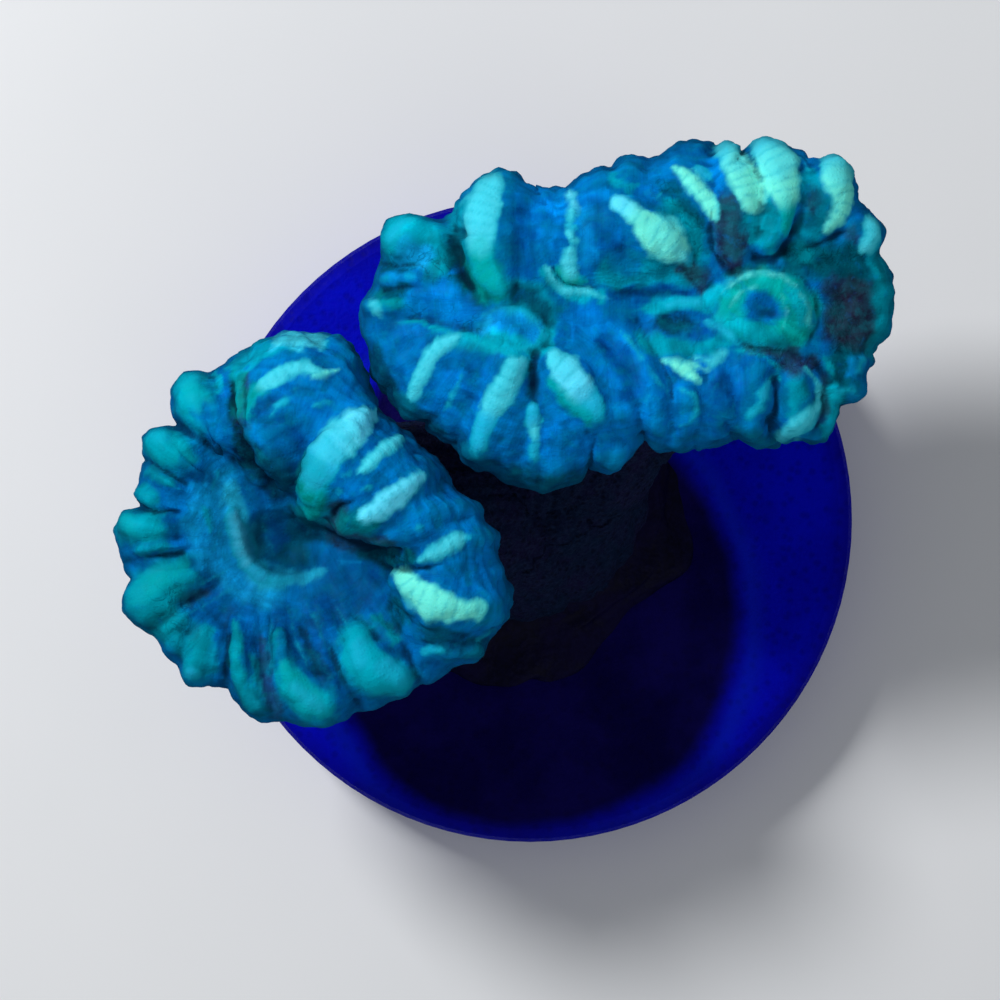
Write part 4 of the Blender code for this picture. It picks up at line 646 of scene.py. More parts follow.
RIGHT_STRIPES = strokes(
    Stripe,
    ("aqua", 0.5, (-10.5, 3.9, 0.4), (-10.1, 4.6, 0.4), (-9.6, 4.7, 0.32)),
    ("aqua", 0.4, (-8.4, 4.3, 0.18), (-8.2, 4.2, 0.18)),
    ("pale", 0.7, (-11.35, 0.9, 0.38), (-11.2, 0.6, 0.34)),
    ("sky", 0.5, (-9.7, 2.1, 0.22), (-9.5, 2.1, 0.22)),
    ("sky", 0.5, (-10.8, 2.1, 0.2), (-10.6, 2.1, 0.2)),
    ("pale", 0.9, (-5.85, 6.4, 0.65), (-6.2, 5.5, 0.85), (-6.45, 4.5, 0.85), (-6.45, 3.6, 0.7)),
    ("sea", 0.8, (-6.45, 3.4, 0.65), (-6.4, 2.7, 0.6), (-6.1, 2, 0.5), (-5.7, 1.5, 0.3)),
    ("ice", 0.75, (-2.3, 5.75, 0.22), (-2.2, 5.35, 0.26)),
    ("pale", 0.8, (-2.2, 5, 0.2), (-2.25, 4.75, 0.24)),
    ("aqua", 0.6, (-2.4, 4.45, 0.18), (-2.1, 4.35, 0.2)),
    ("pale", 0.9, (-2.35, 4, 0.26), (-2.25, 3.7, 0.28)),
    ("pale", 0.9, (-2.4, 3.2, 0.3), (-2.45, 2.7, 0.42), (-2.4, 2.3, 0.38)),
    ("sea", 0.9, (-2.85, 2.35, 0.22), (-2.4, 1.95, 0.28), (-1.8, 1.95, 0.2)),
    ("pale", 0.8, (-3.3, 2.5, 0.14), (-3.1, 2, 0.2), (-2.5, 1.5, 0.28), (-1.6, 1.5, 0.28), (-1, 1.2, 0.16),
     (-0.5, 1, 0.1)),
    ("ice", 1, (-0.1, 5.35, 0.42), (0.4, 5, 0.48)),
    ("mint", 1, (0.5, 4.8, 0.48), (1.1, 4.4, 0.5)),
    ("pale", 0.5, (1.9, 4, 0.9), (2.2, 3.5, 0.7)),
    ("mint", 1, (1.35, 4.2, 0.75), (1.9, 3.8, 1), (2.4, 3.4, 0.75)),
    ("aqua", 0.8, (2.6, 3.2, 0.45), (2.95, 2.95, 0.35)),
    ("mint", 1, (2.4, 7, 0.24), (2.9, 6.7, 0.36), (3.3, 6.1, 0.44), (3.7, 5.6, 0.4), (4.05, 5.1, 0.3),
     (4.1, 4.8, 0.2)),
    ("aqua", 0.8, (3.5, 6.8, 0.3), (3.75, 6.6, 0.3)),
    ("aqua", 0.4, (1.8, 5.9, 0.1), (1.6, 5.6, 0.1)),
    ("turquoise", 0.4, (-0.4, 6.5, 0.2), (0.5, 6.2, 0.2)),
    ("pale", 1, (4.85, 7.95, 0.66), (5.15, 7.35, 0.76)),
    ("mint", 1, (5.2, 7.2, 0.76), (5.55, 6.5, 0.84), (5.75, 5.9, 0.72), (5.8, 5.4, 0.46)),
    ("pale", 1, (6.6, 8, 0.75), (7, 7.3, 0.95)),
    ("mint", 1, (7.05, 7.1, 0.95), (7.3, 6.4, 0.86), (7.45, 5.8, 0.7)),
    ("sea", 0.9, (7.5, 5.3, 0.5), (7.5, 4.7, 0.4), (7.3, 4.1, 0.3)),
    ("aqua", 0.5, (8.1, 7.4, 0.16), (8.5, 6.9, 0.16)),
    ("pale", 0.85, (9.7, 7.3, 0.72), (9.75, 6.8, 0.72)),
    ("mint", 1, (9.8, 6.5, 0.7), (10.05, 5.8, 0.55), (10, 5.1, 0.38), (9.75, 4.6, 0.36), (9.3, 4.2, 0.24)),
    ("pale", 1, (11.45, 4.45, 0.46), (11.5, 4, 0.5), (11.2, 3.45, 0.42)),
    ("turquoise", 0.35, (11.9, 2.2, 0.18), (12, 1, 0.18)),
    ("mint", 0.5, (4.7, 1.4, 0.16), (5.4, 2, 0.2), (6.2, 2.3, 0.2), (7.2, 2.15, 0.18), (7.9, 1.7, 0.14)),
    ("mint", 0.4, (8.1, 1.3, 0.16), (8.6, 0.6, 0.2), (8.6, -0.1, 0.16)),
    ("mint", 0.35, (7.25, 1.25, 0.14), (7.55, 0.5, 0.16), (7.35, -0.2, 0.12)),
    ("mint", 0.5, (4.9, 0.8, 0.16), (5.35, 1.4, 0.2), (6.1, 1.6, 0.16)),
    ("aqua", 0.4, (4.4, 1.6, 0.2), (4.9, 1.9, 0.2)),
    ("aqua", 0.55, (2.1, 0.75, 0.16), (2.7, 0.95, 0.22), (3.5, 0.9, 0.22)),
    ("aqua", 0.55, (3.9, 0.1, 0.18), (4.8, -0.4, 0.28), (5.2, -0.8, 0.22)),
    ("pale", 1, (-7.5, -0.75, 0.3), (-8.15, -1.05, 0.4), (-8.75, -1.7, 0.42), (-9.1, -2.3, 0.4),
     (-9.5, -3.2, 0.28)),
    ("aqua", 0.6, (-7.2, -2.3, 0.16), (-7.6, -3.1, 0.2), (-8, -3.8, 0.14)),
    ("pale", 1, (-4.8, -1.9, 0.52), (-5.25, -2.8, 0.58), (-5.85, -3.8, 0.54)),
    ("aqua", 0.9, (-6.1, -4.3, 0.48), (-6.3, -4.9, 0.44), (-6.4, -5.5, 0.36)),
    ("aqua", 0.9, (-3.95, -3.8, 0.25), (-3.95, -4.4, 0.42)),
    ("pale", 0.8, (-3.9, -4.8, 0.4), (-3.9, -5.1, 0.36)),
    ("aqua", 0.7, (-4, -5.5, 0.34), (-4, -6, 0.3)),
    ("pale", 1.1, (-3, -1.75, 0.5), (-2.6, -2.1, 0.68)),
    ("ice", 1, (-2.5, -2.2, 0.66), (-1.9, -2.85, 0.7)),
    ("aqua", 0.9, (-1.55, -3.3, 0.65), (-1.15, -3.75, 0.5)),
    ("sea", 0.7, (-2.8, -3, 0.3), (-2.2, -3.6, 0.35), (-1.6, -4.1, 0.25)),
    ("aqua", 0.5, (0, -0.45, 0.16), (0.4, -0.95, 0.2), (0.9, -1.6, 0.16)),
    ("aqua", 0.35, (1.1, -1.9, 0.14), (1.6, -2.4, 0.14), (2.2, -3.3, 0.12)),
    ("turquoise", 0.4, (0.5, 0.3, 0.08), (1, -0.3, 0.08), (1.4, -0.8, 0.1)),
    ("mint", 1.3, (2, -1.7, 0.18), (2.8, -2.1, 0.36), (3.4, -2.6, 0.24)),
    ("mint", 0.7, (2.6, -1.75, 0.1), (3.3, -2, 0.2), (3.8, -2.2, 0.14)),
    ("pale", 0.6, (3.4, -1.7, 0.16), (4.1, -1.8, 0.28), (4.5, -1.4, 0.24)),
    ("aqua", 0.5, (2.7, -3, 0.14), (3.3, -3.3, 0.2), (3.5, -4, 0.2), (3.1, -4.6, 0.16), (2.6, -4.7, 0.12)),
    ("aqua", 0.4, (1.3, -3.2, 0.08), (1.1, -3.9, 0.1), (1.2, -4.4, 0.08)),
    ("aqua", 0.4, (-0.9, -4.2, 0.24), (-1.2, -4.3, 0.24)),
    ("aqua", 0.75, (6.6, -2.7, 0.22), (6.35, -3.2, 0.3)),
    ("aqua", 0.6, (6.25, -3.7, 0.22), (5.8, -4.2, 0.24)),
    ("turquoise", 0.5, (5.2, -1.15, 0.14), (6.5, -1.5, 0.18), (7, -2, 0.24), (7.1, -2.5, 0.2)),
    ("pale", 0.75, (8.3, -2, 0.16), (8.9, -2.8, 0.26), (8.9, -3.5, 0.3)),
    ("pale", 0.95, (8.8, -3.7, 0.32), (8.4, -4.2, 0.4), (7.9, -4.7, 0.4), (7.4, -5, 0.26)),
    ("aqua", 0.5, (11, -1.6, 0.24), (10.8, -2.1, 0.2)),
    ("aqua", 0.5, (10, -3, 0.2), (10.4, -2.9, 0.24), (10.8, -3.2, 0.16)),
    ("turquoise", 0.4, (9.7, -4.6, 0.2), (9.4, -5, 0.2)),
    ("turquoise", 0.6, (-10, 0, 0.14), (-9.3, 0.1, 0.16), (-8.6, -0.25, 0.16), (-7.8, -0.5, 0.18),
     (-6.8, -0.6, 0.2), (-6, -1, 0.22), (-5, -1.3, 0.24), (-4.2, -1.6, 0.2)),
    ("aqua", 0.5, (-6.2, 0.3, 0.1), (-5.5, 0.65, 0.14), (-4.6, 0.6, 0.14), (-3.8, 0.1, 0.14),
     (-3.4, -0.6, 0.12)),
    ("aqua", 0.45, (-5.2, -1.2, 0.1), (-4.4, -1.15, 0.14), (-3.7, -0.9, 0.12)),
)

# Where fine wrinkles run like a net, through points of (x, y, half width).
LEFT_NETS = [
    [(2.2, -1.3, 0.5), (3.6, -1.5, 0.6), (4.3, -1.6, 0.4)],
    [(3.5, -3.6, 0.5), (3.9, -4.5, 0.6)],
    [(-6.8, -3.4, 1), (-6.2, -5, 1)],
]
RIGHT_NETS = [
    [(5.6, -1.1, 0.35), (7.6, -1.7, 0.6), (8.8, -2, 0.4)],
    [(-10.6, 3, 0.6), (-8, 2.6, 0.9)],
    [(-7.2, 0.4, 0.5), (-6.6, -0.4, 0.5)],
    [(1.9, 6.2, 0.5), (2.6, 5.4, 0.5), (3.5, 4.2, 0.5), (3.4, 3.2, 0.4)],
    [(7.8, 3.2, 0.6), (9.2, 3, 0.6), (10.6, 3.2, 0.5)],
    [(9.4, 1.4, 0.8), (10.2, -0.8, 0.8)],
    [(-10, 1.3, 0.4), (-8.4, -0.3, 0.4)],
]

# A head: the CAD node that it stands for, how far its middle is from the middle of that node's box, the
# heart of its mouth, the place of its summit, how steeply its crests fall away from there, the floor of its
# mouth, its waist, where it is widest, and its tables.
Head = namedtuple(
    "Head", "node shift heart summit slope floor waist outline folds brushes washes stripes nets")

HEADS = [
    Head(
        "left_polyp", shift=(-0.05, 0.08), heart=(-1.5, -0.8), summit=(2.0, 2.2), slope=0.40, floor=19.9,
        waist=20.2, outline=LEFT_OUTLINE, folds=LEFT_FOLDS, brushes=LEFT_BRUSHES, washes=LEFT_WASHES,
        stripes=LEFT_STRIPES, nets=LEFT_NETS),
    Head(
        "right_polyp", shift=(-0.42, -0.33), heart=(0.8, 0.25), summit=(0.5, 1.5), slope=0.22, floor=23.4,
        waist=21.0, outline=RIGHT_OUTLINE, folds=RIGHT_FOLDS, brushes=RIGHT_BRUSHES, washes=RIGHT_WASHES,
        stripes=RIGHT_STRIPES, nets=RIGHT_NETS),
]
BOXES = {head.node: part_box(head.node) for head in HEADS}

RUN_STOPS = 14  # stops along a fold from its inner end to the rim
SWELL_POWER = 1.4  # how a fold's radius grows towards its crest
BULGE = 1.2  # how far an overhanging fold's inner end is under its crest, in radii of that end
INNER_RISE = 0.12  # how far the inner end of any other fold stands out of the body, as a share of its crest
SKIRT = [(0.975, 0.98), (0.90, 0.86), (0.78, 0.66), (0.62, 0.46)]  # (reach, width) as shares, down to the end
SKIRT_HEIGHT = 14.4  # where the flesh ends on the skeleton
FLESH_VOXEL = 0.15
FLESH_PASSES = 5  # smoothing passes over the melted skin

CREST_SINK = 0.35  # how far the highest crest is under the top of the head's box
HEADROOM = 0.15  # what the brushes and the stripes add on top
BODY_SINK = 0.5  # how far the body lies under a fold's crest, as a share of the fold's width
RIM_SINK = 0.42  # how far it lies inside a fold's outer end
FLOOR_REACH = 0.8  # how far the floor of the mouth goes towards a fold's inner end
SHOULDER = (0.6, 0.28)  # the body between crest and waist: how far out it is, and how far down
UNDERSIDE = [(0.95, 1.8), (0.80, 3.8)]  # the body under the rim: its reach, and its depth under the waist
FOOT_REACH = 0.55  # its reach where it ends on the skeleton
BODY_TURNS = 144  # its corners round the heart
BODY_RINGS = 40

UPPER_SIDE = (-0.35, 0.15)  # how far up the skin faces where the brushes and stripes begin, and are full
TOP_SIDE = (0.25, 0.7)  # and where the wrinkles do
HOLE_POWER = 0.6  # less than 1 makes a hole's walls steep
GROOVE_SHADE = 3.5  # how much painted shade a groove gets for its depth
BRUSH_PASSES = 4  # smoothing passes over the brushed forms
RIPPLE_PERIOD = 0.52  # the wrinkles across a fold
RIPPLE_DEPTH = 0.05
CREASE_DEPTH = 0.09  # how far the skin is drawn in where two folds meet
CREASE_REACH = 0.22
STRIPE_HEIGHT = 0.09
STRIPE_EDGE = (-0.42, 0.24)  # where a stripe is full, and where it ends, past its half width
RAGGED = 0.12  # how far a stripe's edge wanders
BEAD_PERIOD = 0.46  # the beads along a stripe
BEAD_REACH = 0.09  # how far they stand out sideways
WALL_BEAD_SIZE = 0.85  # the beads on the outer wall
WALL_BEAD_HEIGHT = 0.22
UNEVEN_SIZE = 2.2
UNEVEN_HEIGHT = 0.16
FINE_SIZE = 0.55
FINE_HEIGHT = 0.05
SOFTEN_PASSES = 150  # smoothing passes of the skin that softened folds melt towards
FUNNEL_REACH = 4.0  # how far from the heart the skin stays smooth
OUTLINE_PARTS = 240  # parts of a full turn in which the outline is measured

WASH_EDGE = (0.45, 1.25)  # where a wash is full, and where it ends, in half widths
NET_EDGE = (0.4, 1.2)
WASH_WOBBLE = 0.3  # how far their edges wander
MOTTLE = 0.45  # how much lighter and darker the ground colour gets
FINE_HOLLOW_PASSES = 12  # smoothing passes that a hollow is measured against
BROAD_HOLLOW_PASSES = 90

# ---------------------------------------------------------------------------------------------------------
# Modelling helpers


def mm(*values):
    """Millimetres as a Blender vector in metres."""
    return Vector(values) * MM


def select_only(*items):
    bpy.ops.object.select_all(action="DESELECT")
    for item in items:
        item.select_set(True)
    bpy.context.view_layer.objects.active = items[-1]


def joined(pieces, name):
    """The pieces as one mesh object of that name, with its place in its mesh."""
    select_only(*pieces)
    bpy.ops.object.convert(target="MESH")
    bpy.ops.object.join()
    bpy.ops.object.transform_apply(location=True, rotation=True, scale=True)
    item = bpy.context.view_layer.objects.active
    item.name = item.data.name = name
    return item


def apply_modifier(item, kind, **settings):
    modifier = item.modifiers.new(kind, kind)
    for key, value in settings.items():
        setattr(modifier, key, value)
    select_only(item)
    bpy.ops.object.modifier_apply(modifier=modifier.name)


def melt_together(item, voxel, passes):
    """Turns overlapping closed shapes into one soft skin."""
    apply_modifier(item, "REMESH", mode="VOXEL", voxel_size=voxel * MM, adaptivity=0.0)
    apply_modifier(item, "SMOOTH", factor=0.5, iterations=passes)


def ball(x, y, z, radius):
    bpy.ops.mesh.primitive_uv_sphere_add(segments=20, ring_count=12, radius=radius * MM, location=mm(x, y, z))
    return bpy.context.object


def round_tube(stops, sides=3):
    """A round tube with filled caps through stops of (x, y, z, radius), and a ball at each end."""
    bpy.ops.curve.primitive_bezier_curve_add()
    item = bpy.context.object
    curve = item.data
    curve.splines.clear()
    curve.dimensions = "3D"
    curve.bevel_depth = MM
    curve.bevel_resolution = sides
    curve.use_fill_caps = True
    spline = curve.splines.new("POLY")
    spline.points.add(len(stops) - 1)
    for point, (x, y, z, radius) in zip(spline.points, stops):
        point.co = (*mm(x, y, z), 1.0)
        point.radius = radius
    return [item, ball(*stops[0]), ball(*stops[-1])]


def keep_side(item, point, normal):
    """Cuts the item off flat at a plane, keeps the side that the normal points to and closes the cut."""
    select_only(item)
    bpy.ops.object.mode_set(mode="EDIT")
    bpy.ops.mesh.select_all(action="SELECT")
    bpy.ops.mesh.bisect(plane_co=mm(*point), plane_no=normal, clear_inner=True)
    bpy.ops.mesh.select_all(action="SELECT")
    bpy.ops.mesh.fill_holes(sides=0)
    bpy.ops.mesh.delete_loose()
    bpy.ops.object.mode_set(mode="OBJECT")


def finish_piece(item, material, slot, *nodes):
    """Gives the piece its material and smooth shading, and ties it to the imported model."""
    item.data.materials.clear()
    item.data.materials.append(material)
    item.data.shade_smooth()
    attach(item, "root")
    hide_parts(*nodes)


# ---------------------------------------------------------------------------------------------------------
# Mesh data as arrays, in millimetres


def places_of(item):
    places = np.empty(len(item.data.vertices) * 3)
    item.data.vertices.foreach_get("co", places)
    return places.reshape(-1, 3) / MM


def normals_of(item):
    normals = np.empty(len(item.data.vertices) * 3)
    item.data.vertex_normals.foreach_get("vector", normals)
    return normals.reshape(-1, 3)


def move_to(item, places):
    item.data.vertices.foreach_set("co", (places * MM).astype(np.float32).ravel())
    item.data.update()


def edges_of(item):
    ends = np.empty(len(item.data.edges) * 2, np.int32)
    item.data.edges.foreach_get("vertices", ends)
    return ends.reshape(-1, 2)


def relaxed(values, edges, passes):
    """The values, each averaged with its neighbours' that many times."""
    first, second = edges.T
    count = np.bincount(edges.ravel(), minlength=len(values)) + 1.0
    for _ in range(passes):
        total = values.copy()
        for column in range(values.shape[1]):
            total[:, column] += np.bincount(first, values[second, column], len(values))
            total[:, column] += np.bincount(second, values[first, column], len(values))
        values = total / count[:, None]
    return values


def store(item, **marks):
    """Keeps each mark, a value, vector or colour for every vertex, as an attribute of its name."""
    for name, values in marks.items():
        if values.ndim == 1:
            kind, key = "FLOAT", "value"
        else:
            kind, key = ("FLOAT_VECTOR", "vector") if values.shape[1] == 3 else ("FLOAT_COLOR", "color")
        attribute = item.data.attributes.new(name, kind, "POINT")
        attribute.data.foreach_set(key, values.astype(np.float32).ravel())


def with_alpha(colours):
    return np.column_stack([colours, np.ones(len(colours))])


def step_between(low, high, values):
    """0 below low, 1 above high, and a smooth rise between."""
    share = np.clip((values - low) / (high - low), 0, 1)
    return share * share * (3 - 2 * share)


def step_down(low, high, values):
    """1 below low, 0 above high, and a smooth fall between."""
    return 1 - step_between(low, high, values)


def wandering(places, size, octaves=2):
    """Smooth noise of about that size at each place, from -1 to 1. Moved places give another noise."""
    return np.array([noise.fractal(Vector(p), 1.0, 2.0, octaves) for p in places / size])


def wandering_pair(places, first_size, second_size, second_octaves):
    """Two unlike noises side by side, to shift edges along and across."""
    return np.column_stack([
        wandering(places + 10.0, first_size, 3), wandering(places + 20.0, second_size, second_octaves)])


def cells(places, size):
    """Round bumps of about that size at each place: 1 in their middles, 0 between them."""
    return np.array([1 - min(1.0, noise.voronoi(Vector(p))[0][0] * 1.5) for p in places / size])


# ---------------------------------------------------------------------------------------------------------
# Growing a head


def head_middle(head):
    low, high = BOXES[head.node]
    middle = (low + high) / 2 / MM
    return Vector((middle.x + head.shift[0], middle.y + head.shift[1]))


def local_places(head, places):
    """Places as x, y from the head's middle, as its tables have them."""
    middle = head_middle(head)
    return places[:, :2] - (middle.x, middle.y)


def crest_height(head, fold, x, y):
    """The height of a fold's crest at x, y, from the head's middle."""
    away = math.hypot(x - head.summit[0], y - head.summit[1])
    return BOXES[head.node][1].z / MM - CREST_SINK - head.slope * away + fold.lift - HEADROOM


def crest_place(fold):
    return Vector((fold.x0, fold.y0)).lerp(Vector((fold.x1, fold.y1)), KINDS[fold.kind].crest)


def body_profile(head, fold):
    """The flesh under one fold: stops of (reach from the heart, height), from the mouth over the rim down."""
    heart = Vector(head.heart)
    crest = crest_height(head, fold, *crest_place(fold)) - fold.width * BODY_SINK
    inner = (Vector((fold.x0, fold.y0)) - heart).length
    middle = (crest_place(fold) - heart).length
    rim = (Vector((fold.x1, fold.y1)) - heart).length - fold.width * RIM_SINK
    out, down = SHOULDER
    shoulder = (middle + (rim - middle) * out, crest + (head.waist - crest) * down)
    floor_edge = max(0.3, inner * FLOOR_REACH)
    return [
        (floor_edge * 0.5, head.floor), (floor_edge, head.floor + floor_edge * 0.2),
        (middle, crest), shoulder, (rim, head.waist),
        *((rim * reach, head.waist - depth) for reach, depth in UNDERSIDE), (rim * FOOT_REACH, SKIRT_HEIGHT),
    ]


def fold_top(head, fold, place, share, thin, fat):
    """The height of the fold's upper side at a place that is that share of the way along it."""
    kind = KINDS[fold.kind]
    crest = crest_height(head, fold, *crest_place(fold))
    if share >= kind.crest:
        fall = (share - kind.crest) / (1 - kind.crest)
        return crest + (head.waist + fat - crest) * (1 - math.sqrt(max(0.0, 1 - fall ** 2)))
    swell = share / kind.crest
    if kind.over:
        inner = crest - thin * BULGE
        return inner + (crest - inner) * math.sin(swell * math.pi / 2)
    reaches, heights = zip(*body_profile(head, fold)[:3])
    under = np.interp((place - Vector(head.heart)).length, reaches, heights)
    rise = INNER_RISE + (1 - INNER_RISE) * swell ** 1.5
    return min(crest, under + fold.width * BODY_SINK * rise)


def fold_stops(head, fold):
    """Stops of (x, y, z, radius) along the fold, from its inner end over the crest and rim to the skirt."""
    kind = KINDS[fold.kind]
    start, end = Vector((fold.x0, fold.y0)), Vector((fold.x1, fold.y1))
    along = (end - start).normalized()
    fat = fold.width / 2 * kind.spread
    thin = fat * kind.inner_width
    start += along * thin
    end -= along * fat
    side = Vector((-along.y, along.x)) * fold.bow * 2
    stops = []
    for step in range(RUN_STOPS + 1):
        share = step / RUN_STOPS
        place = start.lerp(end, share) + side * share * (1 - share) * 2
        radius = thin + (fat - thin) * min(1.0, share / kind.crest) ** SWELL_POWER
        stops.append((*place, fold_top(head, fold, place, share, thin, fat) - radius, radius))
    for number, (reach, width) in enumerate(SKIRT, 1):
        height = head.waist + (SKIRT_HEIGHT + fat * width - head.waist) * number / len(SKIRT)
        stops.append((*(end * reach), height, fat * width))
    middle = head_middle(head)
    return [(x + middle.x, y + middle.y, z, radius) for x, y, z, radius in stops]


def head_body(head):
    """The flesh under the folds: a ball pulled out to the folds' reach all round, and sunk at the heart."""
    heart = Vector(head.heart)
    profiles = {
        math.atan2(fold.y1 - heart.y, fold.x1 - heart.x) % FULL_TURN: body_profile(head, fold)
        for fold in head.folds}
    angles = sorted(profiles)
    table = np.array([profiles[angle] for angle in angles])
    known = np.linspace(0, 1, table.shape[1])
    bpy.ops.mesh.primitive_uv_sphere_add(segments=BODY_TURNS, ring_count=BODY_RINGS + 1, radius=1.0)
    body = bpy.context.object
    centre = head_middle(head) + heart
    for vertex in body.data.vertices:
        angle = math.atan2(vertex.co.y, vertex.co.x) % FULL_TURN
        ring = round(math.acos(max(-1.0, min(1.0, vertex.co.z))) / math.pi * (BODY_RINGS + 1))
        if ring == 0:
            vertex.co = mm(*centre, head.floor)
        elif ring == BODY_RINGS + 1:
            vertex.co = mm(*centre, SKIRT_HEIGHT)
        else:
            down = (ring - 1) / (BODY_RINGS - 1)
            columns = [
                [np.interp(angle, angles, column, period=FULL_TURN) for column in table[:, :, part].T]
                for part in (0, 1)]
            reach, height = (np.interp(down, known, column) for column in columns)
            vertex.co = mm(centre.x + reach * math.cos(angle), centre.y + reach * math.sin(angle), height)
    return body


FoldField = namedtuple("FoldField", "owner apart along across")


def fold_field(head, places):
    """For each place: its fold, how much further the next one is, and how far along and across it is."""
    count = len(places)
    nearest, second = np.full(count, FAR), np.full(count, FAR)
    owner, along, across = np.zeros(count, int), np.zeros(count), np.zeros(count)
    rows = np.arange(count)
    for number, fold in enumerate(head.folds):
        stops = np.array(fold_stops(head, fold))
        starts, lines = stops[:-1], np.diff(stops, axis=0)
        lengths = np.linalg.norm(lines[:, :3], axis=1)
        offsets = places[:, None, :] - starts[None, :, :3]
        share = np.clip((offsets * lines[:, :3]).sum(2) / lengths ** 2, 0, 1)
        gaps = offsets - share[..., None] * lines[:, :3]
        away = np.linalg.norm(gaps, axis=2) - (starts[:, 3] + share * lines[:, 3])
        best = away.argmin(1)
        distance = away[rows, best]
        run = np.concatenate([[0], np.cumsum(lengths)])[best] + share[rows, best] * lengths[best]
        gap, line = gaps[rows, best], lines[best]
        level_length = np.maximum(np.hypot(line[:, 0], line[:, 1]), 0.05)
        side = (line[:, 0] * gap[:, 1] - line[:, 1] * gap[:, 0]) / level_length
        closer = distance < nearest
        second = np.where(closer, nearest, np.minimum(second, distance))
        nearest = np.where(closer, distance, nearest)
        owner = np.where(closer, number, owner)
        along = np.where(closer, run, along)
        across = np.where(closer, side, across)
    return FoldField(owner, second - nearest, along, across)


def along_points(points, local):
    """For each place: how far off the line it is in half widths, how far past and along it, and its side."""
    share_off = np.full(len(local), FAR)
    past, run, side = (np.zeros(len(local)) for _ in range(3))
    length = 0.0
    for start, end in zip(points, points[1:]):
        start, end = np.array(start), np.array(end)
        line = end[:2] - start[:2]
        span = math.hypot(*line)
        share = np.clip((local - start[:2]) @ line / span ** 2, 0, 1)
        gap = local - start[:2] - share[:, None] * line
        width = start[2] + share * (end[2] - start[2])
        away = np.linalg.norm(gap, axis=1)
        off = away / width
        closer = off < share_off
        past = np.where(closer, away - width, past)
        share_off = np.where(closer, off, share_off)
        run = np.where(closer, length + share * span, run)
        side = np.where(closer, np.sign(line[0] * gap[:, 1] - line[1] * gap[:, 0]), side)
        length += span
    return share_off, past, run, side


def brushed(head, local):
    """How far the brushes lift the skin at each place, and how deep in a narrow groove it is, for painted
    shade.
    """
    folds, soft, cut = (np.zeros(len(local)) for _ in range(3))
    for brush in head.brushes:
        off = along_points(brush.points, local)[0]
        inside = 1 - np.clip(off, 0, 1) ** 2
        if brush.kind == "fold":
            folds = np.maximum(folds, brush.height * inside)
        elif brush.kind == "hump":
            soft += brush.height * inside ** 2
        elif brush.kind == "hole":
            soft -= brush.height * inside ** HOLE_POWER
        else:
            soft -= brush.height * inside ** 2
            cut = np.maximum(cut, min(1.0, brush.height * GROOVE_SHADE) * inside ** 2)
    return folds + soft, cut


def beaded(run, side, number):
    """How far a stripe's beads reach out to their own side, from -1 to 1, and where two beads meet, as 1."""
    steps = run / BEAD_PERIOD
    low = np.floor(steps)  # the bead's number, and the factors below make every bead's reach its own
    share = step_between(0.3, 0.7, steps - low)
    reaches = [np.sin((low + step) * 12.99 + side * 4.1 + number * 7.7) for step in (0, 1)]
    seam = np.exp(-((steps - low - 0.5) / 0.12) ** 2)
    return reaches[0] * (1 - share) + reaches[1] * share, seam


def striped(head, local, ragged):
    """The stripes: how far they lift each place, how deep in a stripe it is, and its colour and seams."""
    lift, depth, seams, total = (np.zeros(len(local)) for _ in range(4))
    little = 1e-4  # the weight of aqua where no stripe is
    colour = np.tile(np.array(PALETTE["aqua"]) * little, (len(local), 1))
    for number, stripe in enumerate(head.stripes):
        off, past, run, side = along_points(stripe.points, local)
        reach, seam = beaded(run + ragged[:, 1] * RAGGED, side, number)
        past += ragged[:, 0] * RAGGED - reach * BEAD_REACH
        swell = (1 - np.clip(off, 0, 1) ** 2) ** 1.5 * (1 - 0.35 * seam)
        lift = np.maximum(lift, STRIPE_HEIGHT * stripe.strength * swell)
        share = step_down(*STRIPE_EDGE, past) * min(1.0, stripe.strength)
        colour += share[:, None] ** 2 * PALETTE[stripe.colour]
        total += share ** 2
        seams = np.where(share > depth, seam, seams)
        depth = np.maximum(depth, share)
    return lift, depth, colour / (total + little)[:, None], seams


def fitted(head, places):
    """The places, stretched or drawn in so that the head's outline is the one in its table."""
    outline = np.array(head.outline)
    bearings = np.arctan2(outline[:, 1], outline[:, 0])
    order = bearings.argsort()
    local = local_places(head, places)
    bearing, reach = np.arctan2(local[:, 1], local[:, 0]), np.hypot(*local.T)
    part = ((bearing + math.pi) / FULL_TURN * OUTLINE_PARTS).astype(int) % OUTLINE_PARTS
    widest = np.zeros(OUTLINE_PARTS)
    np.maximum.at(widest, part, reach)
    turns = (np.arange(OUTLINE_PARTS) + 0.5) / OUTLINE_PARTS * FULL_TURN - math.pi
    wanted = np.interp(turns, bearings[order], np.hypot(*outline[order].T), period=FULL_TURN)
    current = np.interp(bearing, turns, widest, period=FULL_TURN)
    change = np.interp(bearing, turns, wanted / widest, period=FULL_TURN) - 1
    stretch = 1 + change * np.clip(reach / current, 0, 1) ** 3
    fitted_places = places.copy()
    fitted_places[:, :2] += local * (stretch - 1)[:, None]
    return fitted_places


def soften_folds(polyp, head, field):
    """Melts each fold into its neighbours. Returns how rippled and how drawn in each place should be."""
    kinds = [KINDS[fold.kind] for fold in head.folds]
    keys = ("soften", "ripple", "drawn")
    weights = [np.array([getattr(kind, key) for kind in kinds])[field.owner] for key in keys]
    edges = edges_of(polyp)
    soften, strength, drawn = relaxed(np.column_stack(weights), edges, 12).T
    places = places_of(polyp)
    from_heart = np.linalg.norm(local_places(head, places) - head.heart, axis=1)
    soften = np.maximum(soften, step_down(FUNNEL_REACH - 1.5, FUNNEL_REACH + 2.0, from_heart))
    places += (relaxed(places, edges, SOFTEN_PASSES) - places) * soften[:, None]
    move_to(polyp, places)
    return strength, drawn


